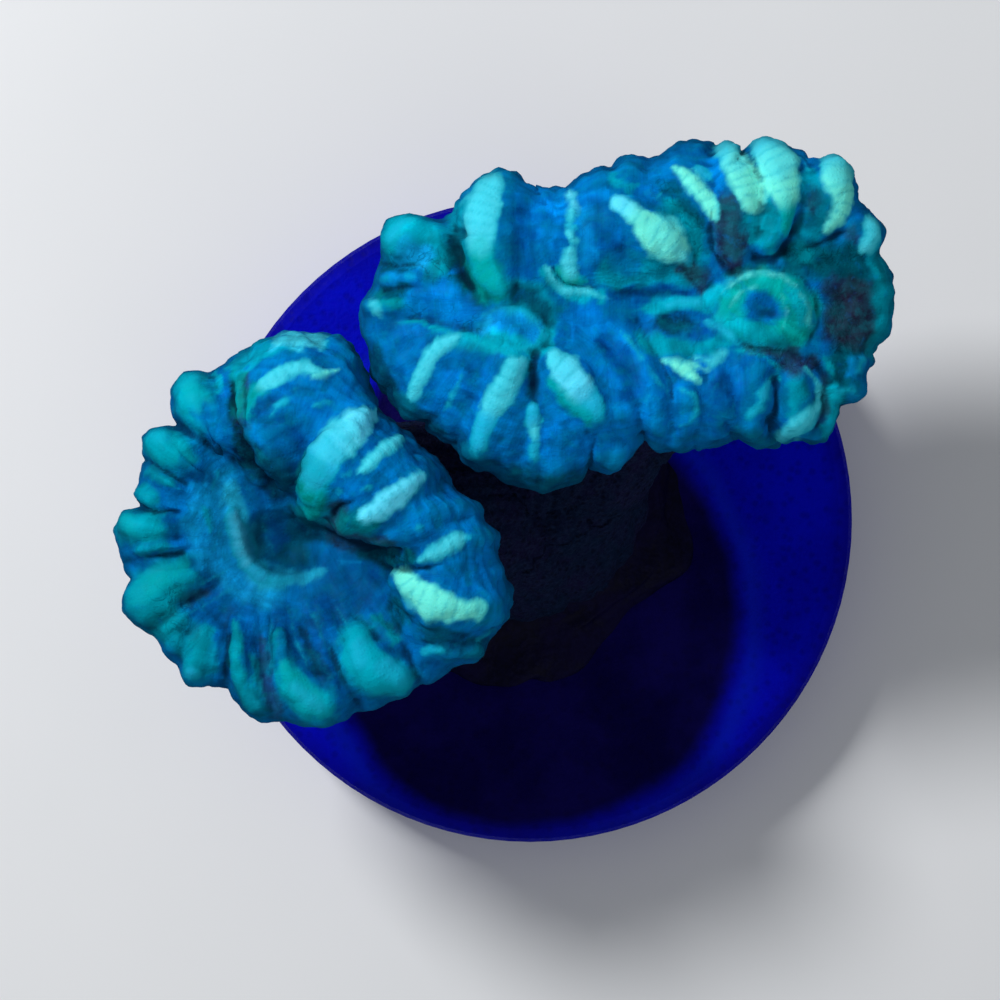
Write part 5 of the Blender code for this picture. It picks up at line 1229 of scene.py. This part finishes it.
def brush_forms(polyp, head, upper):
    """Brushes the forms on the upper skin. Returns its places and how deep in a narrow groove each is."""
    places = places_of(polyp)
    lift, cut = brushed(head, local_places(head, places))
    places += normals_of(polyp) * (lift * upper)[:, None]
    places = fitted(head, relaxed(places, edges_of(polyp), BRUSH_PASSES))
    move_to(polyp, places)
    return places, cut


def rippled(places, field):
    """Wrinkles across the folds, from -1 to 1, that wander and differ from fold to fold."""
    phase = FULL_TURN * field.along / RIPPLE_PERIOD + wandering(places, 1.6) * 5.0 + field.owner * 2.0
    return np.sin(phase)


def outer_wall(polyp, head, places):
    """1 on the outer wall of the head, where its beads are, and 0 on top."""
    low = step_down(head.waist + 0.8, head.waist + 4.0, places[:, 2])
    return np.maximum(low, step_down(0.3, 0.8, relaxed(normals_of(polyp), edges_of(polyp), 6)[:, 2]))


def sculpt_head(polyp, head):
    """Softens the folds, brushes the forms on, wrinkles the skin and stores the marks for its colour and
    painted shade.
    """
    field = fold_field(head, places_of(polyp))
    strength, drawn = soften_folds(polyp, head, field)
    move_to(polyp, fitted(head, places_of(polyp)))
    upper = step_between(*UPPER_SIDE, normals_of(polyp)[:, 2])
    ragged = wandering_pair(places_of(polyp), 0.45, 0.9, 2)
    places, cut = brush_forms(polyp, head, upper)
    normals = normals_of(polyp)
    stripe_lift, depth, colour, seams = striped(head, local_places(head, places), ragged)
    crease = np.exp(-field.apart / CREASE_REACH)
    ripple = rippled(places, field) * strength * step_between(*TOP_SIDE, normals[:, 2])
    past_mouth = step_between(0.3, 1.6, places[:, 2] - head.floor)
    lift = RIPPLE_DEPTH * ripple * (1 - crease) * (0.6 + 0.4 * wandering(places, 2.5)) * past_mouth
    lift += WALL_BEAD_HEIGHT * cells(places, WALL_BEAD_SIZE) * outer_wall(polyp, head, places) * strength
    lift += UNEVEN_HEIGHT * wandering(places + 40.0, UNEVEN_SIZE)
    lift += FINE_HEIGHT * wandering(places + 70.0, FINE_SIZE, 3)
    lift += stripe_lift * upper - CREASE_DEPTH * crease * drawn * past_mouth
    move_to(polyp, places + normals * lift[:, None])
    grain = np.column_stack([field.across, field.along, field.owner * 7.0])
    store(
        polyp, band=depth * upper, band_colour=with_alpha(colour), seam=seams, cut=cut, crease=crease * drawn,
        ripple=ripple, grain=grain)


def paint_ground(polyp, head):
    """Stores the skin's ground colour, washed over in patches, some of them painted shade and highlights, and
    where its nets of wrinkles are.
    """
    places = places_of(polyp)
    local = local_places(head, places) + wandering_pair(places, 0.7, 0.7, 3) * WASH_WOBBLE
    ground = np.tile(PALETTE["blue"], (len(local), 1))
    for wash in head.washes:
        mask = step_down(*WASH_EDGE, along_points(wash.points, local)[0]) * wash.strength
        ground += (np.array(PALETTE[wash.colour]) - ground) * mask[:, None]
    ground *= (1 + MOTTLE * wandering(places + 60.0, 0.9, 3))[:, None]
    nets = np.zeros(len(local))
    for points in head.nets:
        nets = np.maximum(nets, step_down(*NET_EDGE, along_points(points, local)[0]))
    store(polyp, ground_colour=with_alpha(ground), net=nets)


def mark_hollows(polyp, head):
    """Stores how deep each place lies in fine and in broad hollows, and where the skin turns down: masks for
    painted shade and highlights.
    """
    places, normals, edges = places_of(polyp), normals_of(polyp), edges_of(polyp)
    from_heart = np.linalg.norm(local_places(head, places) - head.heart, axis=1)
    fine = ((relaxed(places, edges, FINE_HOLLOW_PASSES) - places) * normals).sum(1)
    broad = ((relaxed(places, edges, BROAD_HOLLOW_PASSES) - places) * normals).sum(1)
    store(
        polyp,
        fine_hollow=fine * step_between(1.0, 4.0, from_heart),
        broad_hollow=broad * step_between(2.0, 5.0, from_heart),
        side=step_down(0.0, 0.75, relaxed(normals, edges, 10)[:, 2]),
        outer_wall=step_down(head.waist - 1.0, head.waist + 3.0, places[:, 2]))


def grow_head(head, material):
    pieces = [head_body(head)]
    for fold in head.folds:
        pieces += round_tube(fold_stops(head, fold))
    polyp = joined(pieces, head.node + "_flesh")
    melt_together(polyp, FLESH_VOXEL, FLESH_PASSES)
    sculpt_head(polyp, head)
    paint_ground(polyp, head)
    mark_hollows(polyp, head)
    finish_piece(polyp, material, "polyp_flesh", head.node)


# ---------------------------------------------------------------------------------------------------------
# The stony skeleton and the glue

DISC_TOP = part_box("frag_disc")[1].z / MM
FORK_HEIGHT = (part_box("trunk")[1].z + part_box("left_branch")[0].z) / 2 / MM
FORK_MIDDLE = (-1.3, 2.0)
FORK_TURN = math.radians(34)  # the line from the left head to the right head
CALICE_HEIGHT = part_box("left_branch")[1].z / MM
SKELETON_VOXEL = 0.17
SKELETON_PASSES = 12
RIB_COUNT = 22
RIB_HEIGHT = 0.16
GRANULE_SIZE = 0.45
GRANULE_HEIGHT = 0.10
LUMP_SIZE = 3.0
LUMP_HEIGHT = 0.35
CUT_ANGLE = math.radians(50)  # sharper edges than this are those of the cuts

# The limbs of the skeleton: each stop is (x, y, height over the disc, radius).
LIMBS = [
    [(-0.6, 0.2, 0.0, 5.2), (-1.5, 0.7, 3.2, 4.4), (-4.0, 0.9, 5.6, 3.8),
     (-7.2, 0.6, 8.2, 3.7), (-9.3, 0.3, 10.4, 4.1), (-9.8, 0.1, 12.4, 4.7)],
    [(0.0, 0.6, 0.0, 5.2), (0.0, 2.0, 3.4, 4.3), (0.4, 4.6, 6.0, 3.7),
     (0.5, 6.9, 8.8, 3.7), (0.4, 8.3, 12.4, 4.4)],
    [(0.6, 0.7, 0.0, 5.2), (1.2, 2.4, 3.6, 4.2), (3.6, 5.4, 6.2, 3.6),
     (6.6, 8.3, 8.8, 3.6), (8.4, 10.0, 12.4, 4.4)],
]


def limb_ribs(places):
    """How far each place's rib stands proud, from the angle round the limb that is nearest to it."""
    nearest = np.full(len(places), FAR)
    ribs = np.zeros(len(places))
    for limb in LIMBS:
        stops = np.array(limb) + (0, 0, DISC_TOP, 0)
        for start, end in zip(stops, stops[1:]):
            line = end[:3] - start[:3]
            share = np.clip((places - start[:3]) @ line / (line @ line), 0, 1)
            gap = places - start[:3] - share[:, None] * line
            away = np.linalg.norm(gap, axis=1) - (start[3] + share * (end[3] - start[3]))
            angle = np.arctan2(gap[:, 1], gap[:, 0])
            closer = away < nearest
            nearest = np.where(closer, away, nearest)
            ribs = np.where(closer, np.abs(np.cos(angle * RIB_COUNT / 2)), ribs)
    return ribs


def whole_skeleton():
    """The forked skeleton in one piece, with ribs and granules, cut flat at its foot and under the heads."""
    pieces = []
    for limb in LIMBS:
        pieces += round_tube([(x, y, z + DISC_TOP, radius) for x, y, z, radius in limb], sides=6)
    skeleton = joined(pieces, "skeleton")
    melt_together(skeleton, SKELETON_VOXEL, SKELETON_PASSES)
    places = places_of(skeleton)
    lift = RIB_HEIGHT * limb_ribs(places) + GRANULE_HEIGHT * cells(places, GRANULE_SIZE)
    lift += LUMP_HEIGHT * wandering(places, LUMP_SIZE)
    move_to(skeleton, places + normals_of(skeleton) * lift[:, None])
    keep_side(skeleton, (0, 0, CALICE_HEIGHT), (0, 0, -1))
    keep_side(skeleton, (0, 0, DISC_TOP), (0, 0, 1))
    return skeleton


def grow_skeleton(material):
    """The skeleton, parted at the fork into the trunk and two branches."""
    skeleton = whole_skeleton()
    across = Vector((math.cos(FORK_TURN), math.sin(FORK_TURN), 0.0))
    fork, middle = (0, 0, FORK_HEIGHT), (*FORK_MIDDLE, 0.0)
    cuts = {
        "trunk": [(fork, (0, 0, -1))],
        "left_branch": [(fork, (0, 0, 1)), (middle, -across)],
        "right_branch": [(fork, (0, 0, 1)), (middle, across)],
    }
    for node, planes in cuts.items():
        piece = skeleton.copy()
        piece.data = skeleton.data.copy()
        piece.name = piece.data.name = node + "_skeleton"
        bpy.context.scene.collection.objects.link(piece)
        for point, normal in planes:
            keep_side(piece, point, normal)
        finish_piece(piece, material, "skeleton", node)
        piece.data.set_sharp_from_angle(angle=CUT_ANGLE)
    bpy.data.objects.remove(skeleton)


GLUE_REACH = (8.4, 7.0)
GLUE_TURN = math.radians(36)
GLUE_HEIGHT = 1.7
GLUE_CLIMB = 1.2  # how much higher it goes at the foot of the trunk


def lay_glue(material):
    """A low mound of cured gel that climbs the foot of the trunk, with a wandering edge."""
    bpy.ops.mesh.primitive_uv_sphere_add(segments=160, ring_count=80, radius=1.0)
    glue = bpy.context.object
    glue.name = glue.data.name = "glue_mound"
    turn_cos, turn_sin = math.cos(GLUE_TURN), math.sin(GLUE_TURN)
    for vertex in glue.data.vertices:
        place = vertex.co.copy()
        lump = 1 + 0.18 * noise.noise(place * 1.7) + 0.05 * noise.noise(place * 5.0)
        x, y = place.x * GLUE_REACH[0] * lump, place.y * GLUE_REACH[1] * lump
        climb = GLUE_CLIMB * max(0.0, 1 - math.hypot(place.x, place.y) * 1.4)
        height = GLUE_HEIGHT * (1 + 0.25 * noise.noise(place * 3.1)) + climb
        vertex.co = mm(x * turn_cos - y * turn_sin, x * turn_sin + y * turn_cos, DISC_TOP + place.z * height)
    keep_side(glue, (0, 0, DISC_TOP), (0, 0, 1))
    finish_piece(glue, material, "gel_glue", "glue_pad")


# ---------------------------------------------------------------------------------------------------------
# Nodes


def set_input(tree, node, key, value):
    """Links a node's input to another node's output, or sets it to a plain value."""
    if isinstance(value, bpy.types.NodeSocket):
        tree.links.new(value, node.inputs[key])
    else:
        node.inputs[key].default_value = value


def add_node(tree, kind, **settings):
    """Adds a node. A setting that names an input sets or links that input, and any other sets a property."""
    node = tree.nodes.new(kind)
    inputs = {key: value for key, value in settings.items() if key.startswith("in_")}
    for key, value in settings.items():
        if key not in inputs:
            setattr(node, key, value)
    for key, value in inputs.items():
        name = key[3:]
        set_input(tree, node, int(name) if name.isdigit() else name.replace("_", " "), value)
    return node


def maths(tree, operation, *values):
    """A Math node's result."""
    inputs = {f"in_{number}": value for number, value in enumerate(values)}
    return add_node(tree, "ShaderNodeMath", operation=operation, **inputs).outputs[0]


def vector_maths(tree, operation, first, second):
    """A Vector Math node of two vectors."""
    return add_node(tree, "ShaderNodeVectorMath", operation=operation, in_0=first, in_1=second)


def ranged(tree, value, low, high, to_low=0.0, to_high=1.0):
    """The value, moved smoothly from one range to another."""
    node = add_node(
        tree, "ShaderNodeMapRange", interpolation_type="SMOOTHSTEP",
        in_0=value, in_1=low, in_2=high, in_3=to_low, in_4=to_high)
    return node.outputs[0]


def blended(tree, share, first, second):
    """Two colours mixed by a share. Each is a colour's name in the palette or another node's output."""
    node = add_node(tree, "ShaderNodeMix", data_type="RGBA", in_0=share)
    for number, colour in ((6, first), (7, second)):
        set_input(tree, node, number, (*PALETTE[colour], 1.0) if isinstance(colour, str) else colour)
    return node.outputs[2]


def tinted(tree, base, colour, mask, share):
    """The base with a colour laid over it where the mask is, up to that share."""
    return blended(tree, maths(tree, "MULTIPLY", mask, share), base, colour)


def read(tree, name, output="Fac"):
    """A stored attribute of the mesh."""
    return add_node(tree, "ShaderNodeAttribute", attribute_name=name).outputs[output]


def noise_at(tree, vector, scale, detail=2.0, roughness=0.5, distortion=0.0):
    node = add_node(
        tree, "ShaderNodeTexNoise", in_Vector=vector, in_Scale=scale,
        in_Detail=detail, in_Roughness=roughness, in_Distortion=distortion)
    return node.outputs[0]


def object_place(tree):
    return add_node(tree, "ShaderNodeTexCoord").outputs["Object"]


# ---------------------------------------------------------------------------------------------------------
# Node groups that several materials share


def new_group(name, sizes, outputs):
    """A node group with a vector and the named sizes as inputs, and its two end nodes."""
    group = bpy.data.node_groups.new(name, "ShaderNodeTree")
    group.interface.new_socket("Vector", in_out="INPUT", socket_type="NodeSocketVector")
    for key, size in sizes.items():
        group.interface.new_socket(key, in_out="INPUT", socket_type="NodeSocketFloat").default_value = size
    for key in outputs:
        group.interface.new_socket(key, in_out="OUTPUT", socket_type="NodeSocketFloat")
    return group, group.nodes.new("NodeGroupInput"), group.nodes.new("NodeGroupOutput")


def make_speckle_group():
    """Fine grit and blotches: Grit is small grains, Blotch is broad patches, both from 0 to 1."""
    group, start, end = new_group("speckle", {"Grain Size": 4000.0, "Patch Size": 500.0}, ["Grit", "Blotch"])
    vector = start.outputs["Vector"]
    grit = noise_at(group, vector, start.outputs["Grain Size"], 3.0, 0.7)
    blotch = noise_at(group, vector, start.outputs["Patch Size"], 4.0, 0.6)
    group.links.new(ranged(group, grit, 0.3, 0.7), end.inputs["Grit"])
    group.links.new(ranged(group, blotch, 0.35, 0.65), end.inputs["Blotch"])
    return group


def make_pore_group():
    """Tiny round pores or grains: Pore is 1 in a pore and 0 around it."""
    group, start, end = new_group("pores", {"Pore Size": 3000.0}, ["Pore"])
    cell = add_node(
        group, "ShaderNodeTexVoronoi", in_Vector=start.outputs["Vector"], in_Scale=start.outputs["Pore Size"])
    group.links.new(ranged(group, cell.outputs["Distance"], 0.5, 0.1), end.inputs["Pore"])
    return group


def make_vein_group():
    """Fine winding wrinkles: Line is 1 on a wrinkle and 0 between them."""
    group, start, end = new_group("veins", {"Vein Size": 2000.0}, ["Line"])
    winding = noise_at(group, start.outputs["Vector"], start.outputs["Vein Size"], 3.0, distortion=0.8)
    from_middle = maths(group, "ABSOLUTE", maths(group, "SUBTRACT", winding, 0.5))
    group.links.new(ranged(group, from_middle, 0.045, 0.0), end.inputs["Line"])
    return group


def place_group(tree, group, **values):
    """Puts a node group in a material's tree, sets or links its inputs and returns its outputs."""
    node = tree.nodes.new("ShaderNodeGroup")
    node.node_tree = group
    for key, value in values.items():
        set_input(tree, node, key.replace("_", " "), value)
    return node.outputs


# ---------------------------------------------------------------------------------------------------------
# Materials


def new_material(name, **settings):
    """A material, its node tree and its Principled shader with those constant values set."""
    material = bpy.data.materials.new(name)
    material.use_nodes = True
    tree = material.node_tree
    shader = tree.nodes["Principled BSDF"]
    for key, value in settings.items():
        shader.inputs[key.replace("_", " ")].default_value = value
    return material, tree, shader


def add_relief(tree, shader, height, strength, distance=0.0001):
    bump = add_node(tree, "ShaderNodeBump", in_Height=height, in_Strength=strength, in_Distance=distance)
    tree.links.new(bump.outputs[0], shader.inputs["Normal"])


def flesh_ground(tree, place, blotch, shade):
    """The painted ground colour, shaded and dappled with its neighbouring blues."""
    ground = add_node(
        tree, "ShaderNodeVectorMath", operation="SCALE", in_0=read(tree, "ground_colour", "Color"),
        in_Scale=shade).outputs[0]
    dapple = noise_at(tree, place, 1500.0, 3.0, 0.6)
    ground = tinted(tree, ground, "turquoise", blotch, 0.12)
    ground = blended(tree, ranged(tree, dapple, 0.5, 0.7, 0.0, 0.2), ground, "teal")
    ground = blended(tree, ranged(tree, dapple, 0.45, 0.25, 0.0, 0.25), ground, "azure")
    return ground, dapple


def flesh_bands(tree, ground, dapple):
    """The ground with the pale stripes on it, each with a darker edge and painted shade in the seams where
    its beads meet.
    """
    uneven = maths(tree, "MULTIPLY_ADD", dapple, 0.5, -0.25)
    band = maths(tree, "ADD", read(tree, "band"), maths(tree, "MULTIPLY", uneven, 0.7))
    pale = tinted(tree, read(tree, "band_colour", "Color"), "turquoise", read(tree, "seam"), 0.4)
    edge = blended(tree, 0.6, pale, "turquoise")
    skin = blended(tree, ranged(tree, band, 0.08, 0.5, 0.0, 0.85), ground, edge)
    return blended(tree, ranged(tree, band, 0.32, 0.85), skin, pale)


# Painted shade and a painted highlight on the flesh: the stored mark, the range in which it grows from 0 to 1
# where it isn't used as it is, how much of the colour it brings, and the colour. The first row is a painted
# highlight on swellings; the others are painted shade in hollows, grooves, creases, on the sides that turn
# down and low on the outer wall.
FLESH_SHADES = [
    ("broad_hollow", (-0.05, -0.40), 0.22, "turquoise"),
    ("fine_hollow", (0.03, 0.13), 0.60, "navy"),
    ("cut", None, 0.50, "navy"),
    ("broad_hollow", (0.06, 0.50), 0.55, "navy"),
    ("crease", None, 0.25, "navy"),
    ("side", None, 0.55, "dusk"),
    ("outer_wall", None, 0.60, "dusk"),
]


def make_flesh(speckle, pores, veins):
    material, tree, shader = new_material(
        "polyp flesh", Subsurface_Weight=0.15, Subsurface_Radius=(0.4, 0.9, 1.2), Subsurface_Scale=0.0005,
        Specular_IOR_Level=0.0, Coat_Weight=0.01, Coat_Roughness=0.45, Emission_Strength=0.18)
    place = object_place(tree)
    grain = read(tree, "grain", "Vector")
    marks = place_group(tree, speckle, Vector=place, Grain_Size=6000.0, Patch_Size=1100.0)
    pore = place_group(tree, pores, Vector=place, Pore_Size=5200.0)["Pore"]
    line = place_group(tree, veins, Vector=place, Vein_Size=1400.0)["Line"]
    streaks, wrinkles = (
        noise_at(tree, vector_maths(tree, "MULTIPLY", grain, stretch).outputs[0], 1.0, 3.0, 0.6)
        for stretch in ((6.0, 0.9, 1.0), (0.9, 3.6, 1.0)))
    in_net = maths(tree, "MULTIPLY", line, read(tree, "net"))
    dark_streaks = ranged(tree, streaks, 0.4, 0.7, 0.05, -0.1)
    shade = maths(tree, "ADD", ranged(tree, wrinkles, 0.35, 0.7, -0.14, 0.2), dark_streaks)
    # Painted highlight on the crests of the wrinkles across the folds, and painted shade in their troughs.
    shade = maths(tree, "ADD", shade, ranged(tree, read(tree, "ripple"), -1.0, 1.0, -0.12, 0.15))
    shade = maths(tree, "MULTIPLY_ADD", in_net, -0.35, maths(tree, "ADD", shade, 1.0))
    skin = flesh_bands(tree, *flesh_ground(tree, place, marks["Blotch"], shade))
    for name, span, share, colour in FLESH_SHADES:
        mark = ranged(tree, read(tree, name), *span) if span else read(tree, name)
        skin = tinted(tree, skin, colour, mark, share)
    tree.links.new(skin, shader.inputs["Base Color"])
    # The skin also glows faintly in its own colour: a painted glow that lifts its shaded parts.
    tree.links.new(skin, shader.inputs["Emission Color"])
    tree.links.new(ranged(tree, marks["Grit"], 0.0, 1.0, 0.42, 0.58), shader.inputs["Roughness"])
    height = maths(tree, "MULTIPLY_ADD", pore, 0.35, wrinkles)
    height = maths(tree, "MULTIPLY_ADD", streaks, 0.5, height)
    add_relief(tree, shader, maths(tree, "MULTIPLY_ADD", in_net, -0.8, height), 0.35)
    return material


def make_skeleton_stone(speckle, pores):
    material, tree, shader = new_material("coralline covered skeleton", Specular_IOR_Level=0.04)
    place = object_place(tree)
    marks = place_group(tree, speckle, Vector=place, Grain_Size=4200.0, Patch_Size=420.0)
    pore = place_group(tree, pores, Vector=place, Pore_Size=3000.0)["Pore"]
    # The stone is near black: the stem's own dark colour, deepened as painted shade where it stands under the
    # heads.
    stone = blended(tree, marks["Blotch"], "stone", "stone_violet")
    stone = tinted(tree, stone, "stone_grit", marks["Grit"], 0.4)
    stone = tinted(tree, stone, "stone_pore", pore, 0.5)
    tree.links.new(stone, shader.inputs["Base Color"])
    tree.links.new(ranged(tree, marks["Grit"], 0.0, 1.0, 0.95, 0.7), shader.inputs["Roughness"])
    add_relief(tree, shader, maths(tree, "MULTIPLY_ADD", pore, -0.8, marks["Grit"]), 0.6, 0.00015)
    return material


def make_gel(speckle):
    material, tree, shader = new_material("cured gel glue", Specular_IOR_Level=0.04)
    marks = place_group(tree, speckle, Vector=object_place(tree), Grain_Size=3000.0, Patch_Size=380.0)
    # The gel is painted near black, as painted shade for the dark band at the foot of the trunk, with some
    # clouding and grit.
    gel = blended(tree, marks["Blotch"], "gel", "gel_cloud")
    gel = tinted(tree, gel, "gel_grit", marks["Grit"], 0.2)
    tree.links.new(gel, shader.inputs["Base Color"])
    tree.links.new(ranged(tree, marks["Blotch"], 0.0, 1.0, 0.4, 0.6), shader.inputs["Roughness"])
    add_relief(tree, shader, marks["Blotch"], 0.3, 0.0003)
    return material


# The painted shadow of the heads on the disc, also reaching into the gap between them, as rounds of (x, y,
# reach).
PAINTED_SHADOWS = [(0.0, -5.0, 10.9), (-2.5, 4.5, 6.0)]
PAINTED_SHADOW_START = 0.0008  # how far past those reaches its edge is measured from
PAINTED_SHADOW_WANDER = 0.0016


def painted_shadow_edge(tree, place, level):
    """How far outside the painted shadow's wandering edge each place is, and less than 0 inside it."""
    outside = []
    for x, y, reach in PAINTED_SHADOWS:
        away = vector_maths(tree, "DISTANCE", level, mm(x, y, 0)).outputs["Value"]
        outside.append(maths(tree, "SUBTRACT", away, PAINTED_SHADOW_START + reach * MM))
    nearer = maths(tree, "MINIMUM", *outside)
    return maths(tree, "MULTIPLY_ADD", noise_at(tree, place, 160.0, 3.0), PAINTED_SHADOW_WANDER, nearer)


def make_ceramic(speckle, pores):
    material, tree, shader = new_material("blue ceramic", Specular_IOR_Level=0.03, Emission_Strength=0.12)
    place = object_place(tree)
    level = vector_maths(tree, "MULTIPLY", place, (1.0, 1.0, 0.0)).outputs[0]
    marks = place_group(tree, speckle, Vector=place, Grain_Size=5000.0, Patch_Size=260.0)
    pit = place_group(tree, pores, Vector=place, Pore_Size=1900.0)["Pore"]
    clay = blended(tree, marks["Blotch"], "clay", "clay_bright")
    clay = tinted(tree, clay, "clay_grit", marks["Grit"], 0.3)
    clay = tinted(tree, clay, "clay_pit", pit, 0.3)
    edge = painted_shadow_edge(tree, place, level)
    # A lighter line just outside the painted shadow's edge: painted light where the shadow fades out.
    line = maths(tree, "MULTIPLY", ranged(tree, edge, -0.0004, 0.0003), ranged(tree, edge, 0.0013, 0.0003))
    clay = tinted(tree, clay, "painted_shadow_edge", line, 0.3)
    # The heads' painted shadow over the clay, clouded a little.
    painted_shadow = blended(tree, marks["Blotch"], "painted_shadow", "painted_shadow_cloud")
    clay = blended(tree, ranged(tree, edge, 0.0003, -0.0011, 0.0, 0.93), clay, painted_shadow)
    from_middle = add_node(tree, "ShaderNodeVectorMath", operation="LENGTH", in_0=level).outputs["Value"]
    clay = blended(tree, ranged(tree, from_middle, 0.0146, 0.0160, 0.0, 0.55), clay, "clay_rim")
    tree.links.new(clay, shader.inputs["Base Color"])
    # The clay also glows faintly in its own colour: a painted glow that lifts the disc where it lies in
    # shade.
    tree.links.new(clay, shader.inputs["Emission Color"])
    tree.links.new(ranged(tree, marks["Grit"], 0.0, 1.0, 0.5, 0.75), shader.inputs["Roughness"])
    add_relief(tree, shader, maths(tree, "MULTIPLY_ADD", pit, -0.5, marks["Grit"]), 0.25)
    return material


def make_floor_paint():
    material, tree, shader = new_material("pale floor", Roughness=0.9, Specular_IOR_Level=0.2)
    tone = blended(tree, noise_at(tree, object_place(tree), 60.0, 3.0), "floor", "floor_light")
    tree.links.new(tone, shader.inputs["Base Color"])
    return material


# ---------------------------------------------------------------------------------------------------------
# Stage

# Each light: its place and its width in metres, and its power in watts.
LIGHTS = {"key": ((-0.115, 0.095, 0.17), 0.05, 0.41), "fill": ((0.10, -0.16, 0.16), 0.18, 0.06)}
SKY_COLOUR = (0.88, 0.91, 0.95, 1.0)
SKY_STRENGTH = 0.27
CAMERA_PLACE = (-1.49, 0.99, 226.0)
CAMERA_LENS = 4.462  # in widths of the sensor
FLOOR_WIDTH = 4.0


def lay_floor():
    bpy.ops.mesh.primitive_plane_add(size=FLOOR_WIDTH, location=(0, 0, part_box("frag_disc")[0].z))
    floor = bpy.context.object
    floor.name = floor.data.name = "floor"
    bpy.ops.object.transform_apply(location=True, rotation=False, scale=False)
    floor.data.materials.append(make_floor_paint())


def hang_lights():
    heads = mm(0, 3, 20)
    for name, (place, width, power) in LIGHTS.items():
        bpy.ops.object.light_add(type="AREA", location=place)
        light = bpy.context.object
        light.name = name
        light.data.shape = "DISK"
        light.data.size = width
        light.data.energy = power
        light.rotation_euler = (heads - light.location).to_track_quat("-Z", "Y").to_euler()


def light_sky():
    world = bpy.data.worlds.new("studio")
    bpy.context.scene.world = world
    world.use_nodes = True
    background = world.node_tree.nodes["Background"]
    background.inputs[0].default_value = SKY_COLOUR
    background.inputs[1].default_value = SKY_STRENGTH
    bpy.context.scene.view_settings.view_transform = "Standard"


def place_camera():
    """Straight over the coral, looking down, with the far edge of the disc up."""
    bpy.ops.object.camera_add(location=mm(*CAMERA_PLACE), rotation=(0, 0, 0))
    camera = bpy.context.object
    camera.data.sensor_width = 36
    camera.data.lens = camera.data.sensor_width * CAMERA_LENS
    camera.data.clip_start = 0.001
    bpy.context.scene.camera = camera


place_camera()
hang_lights()
light_sky()
lay_floor()
speckle_marks, round_pores = make_speckle_group(), make_pore_group()
flesh = make_flesh(speckle_marks, round_pores, make_vein_group())
for head in HEADS:
    grow_head(head, flesh)
grow_skeleton(make_skeleton_stone(speckle_marks, round_pores))
lay_glue(make_gel(speckle_marks))
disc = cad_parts["frag_disc"]
disc.data.materials.clear()
disc.data.materials.append(make_ceramic(speckle_marks, round_pores))
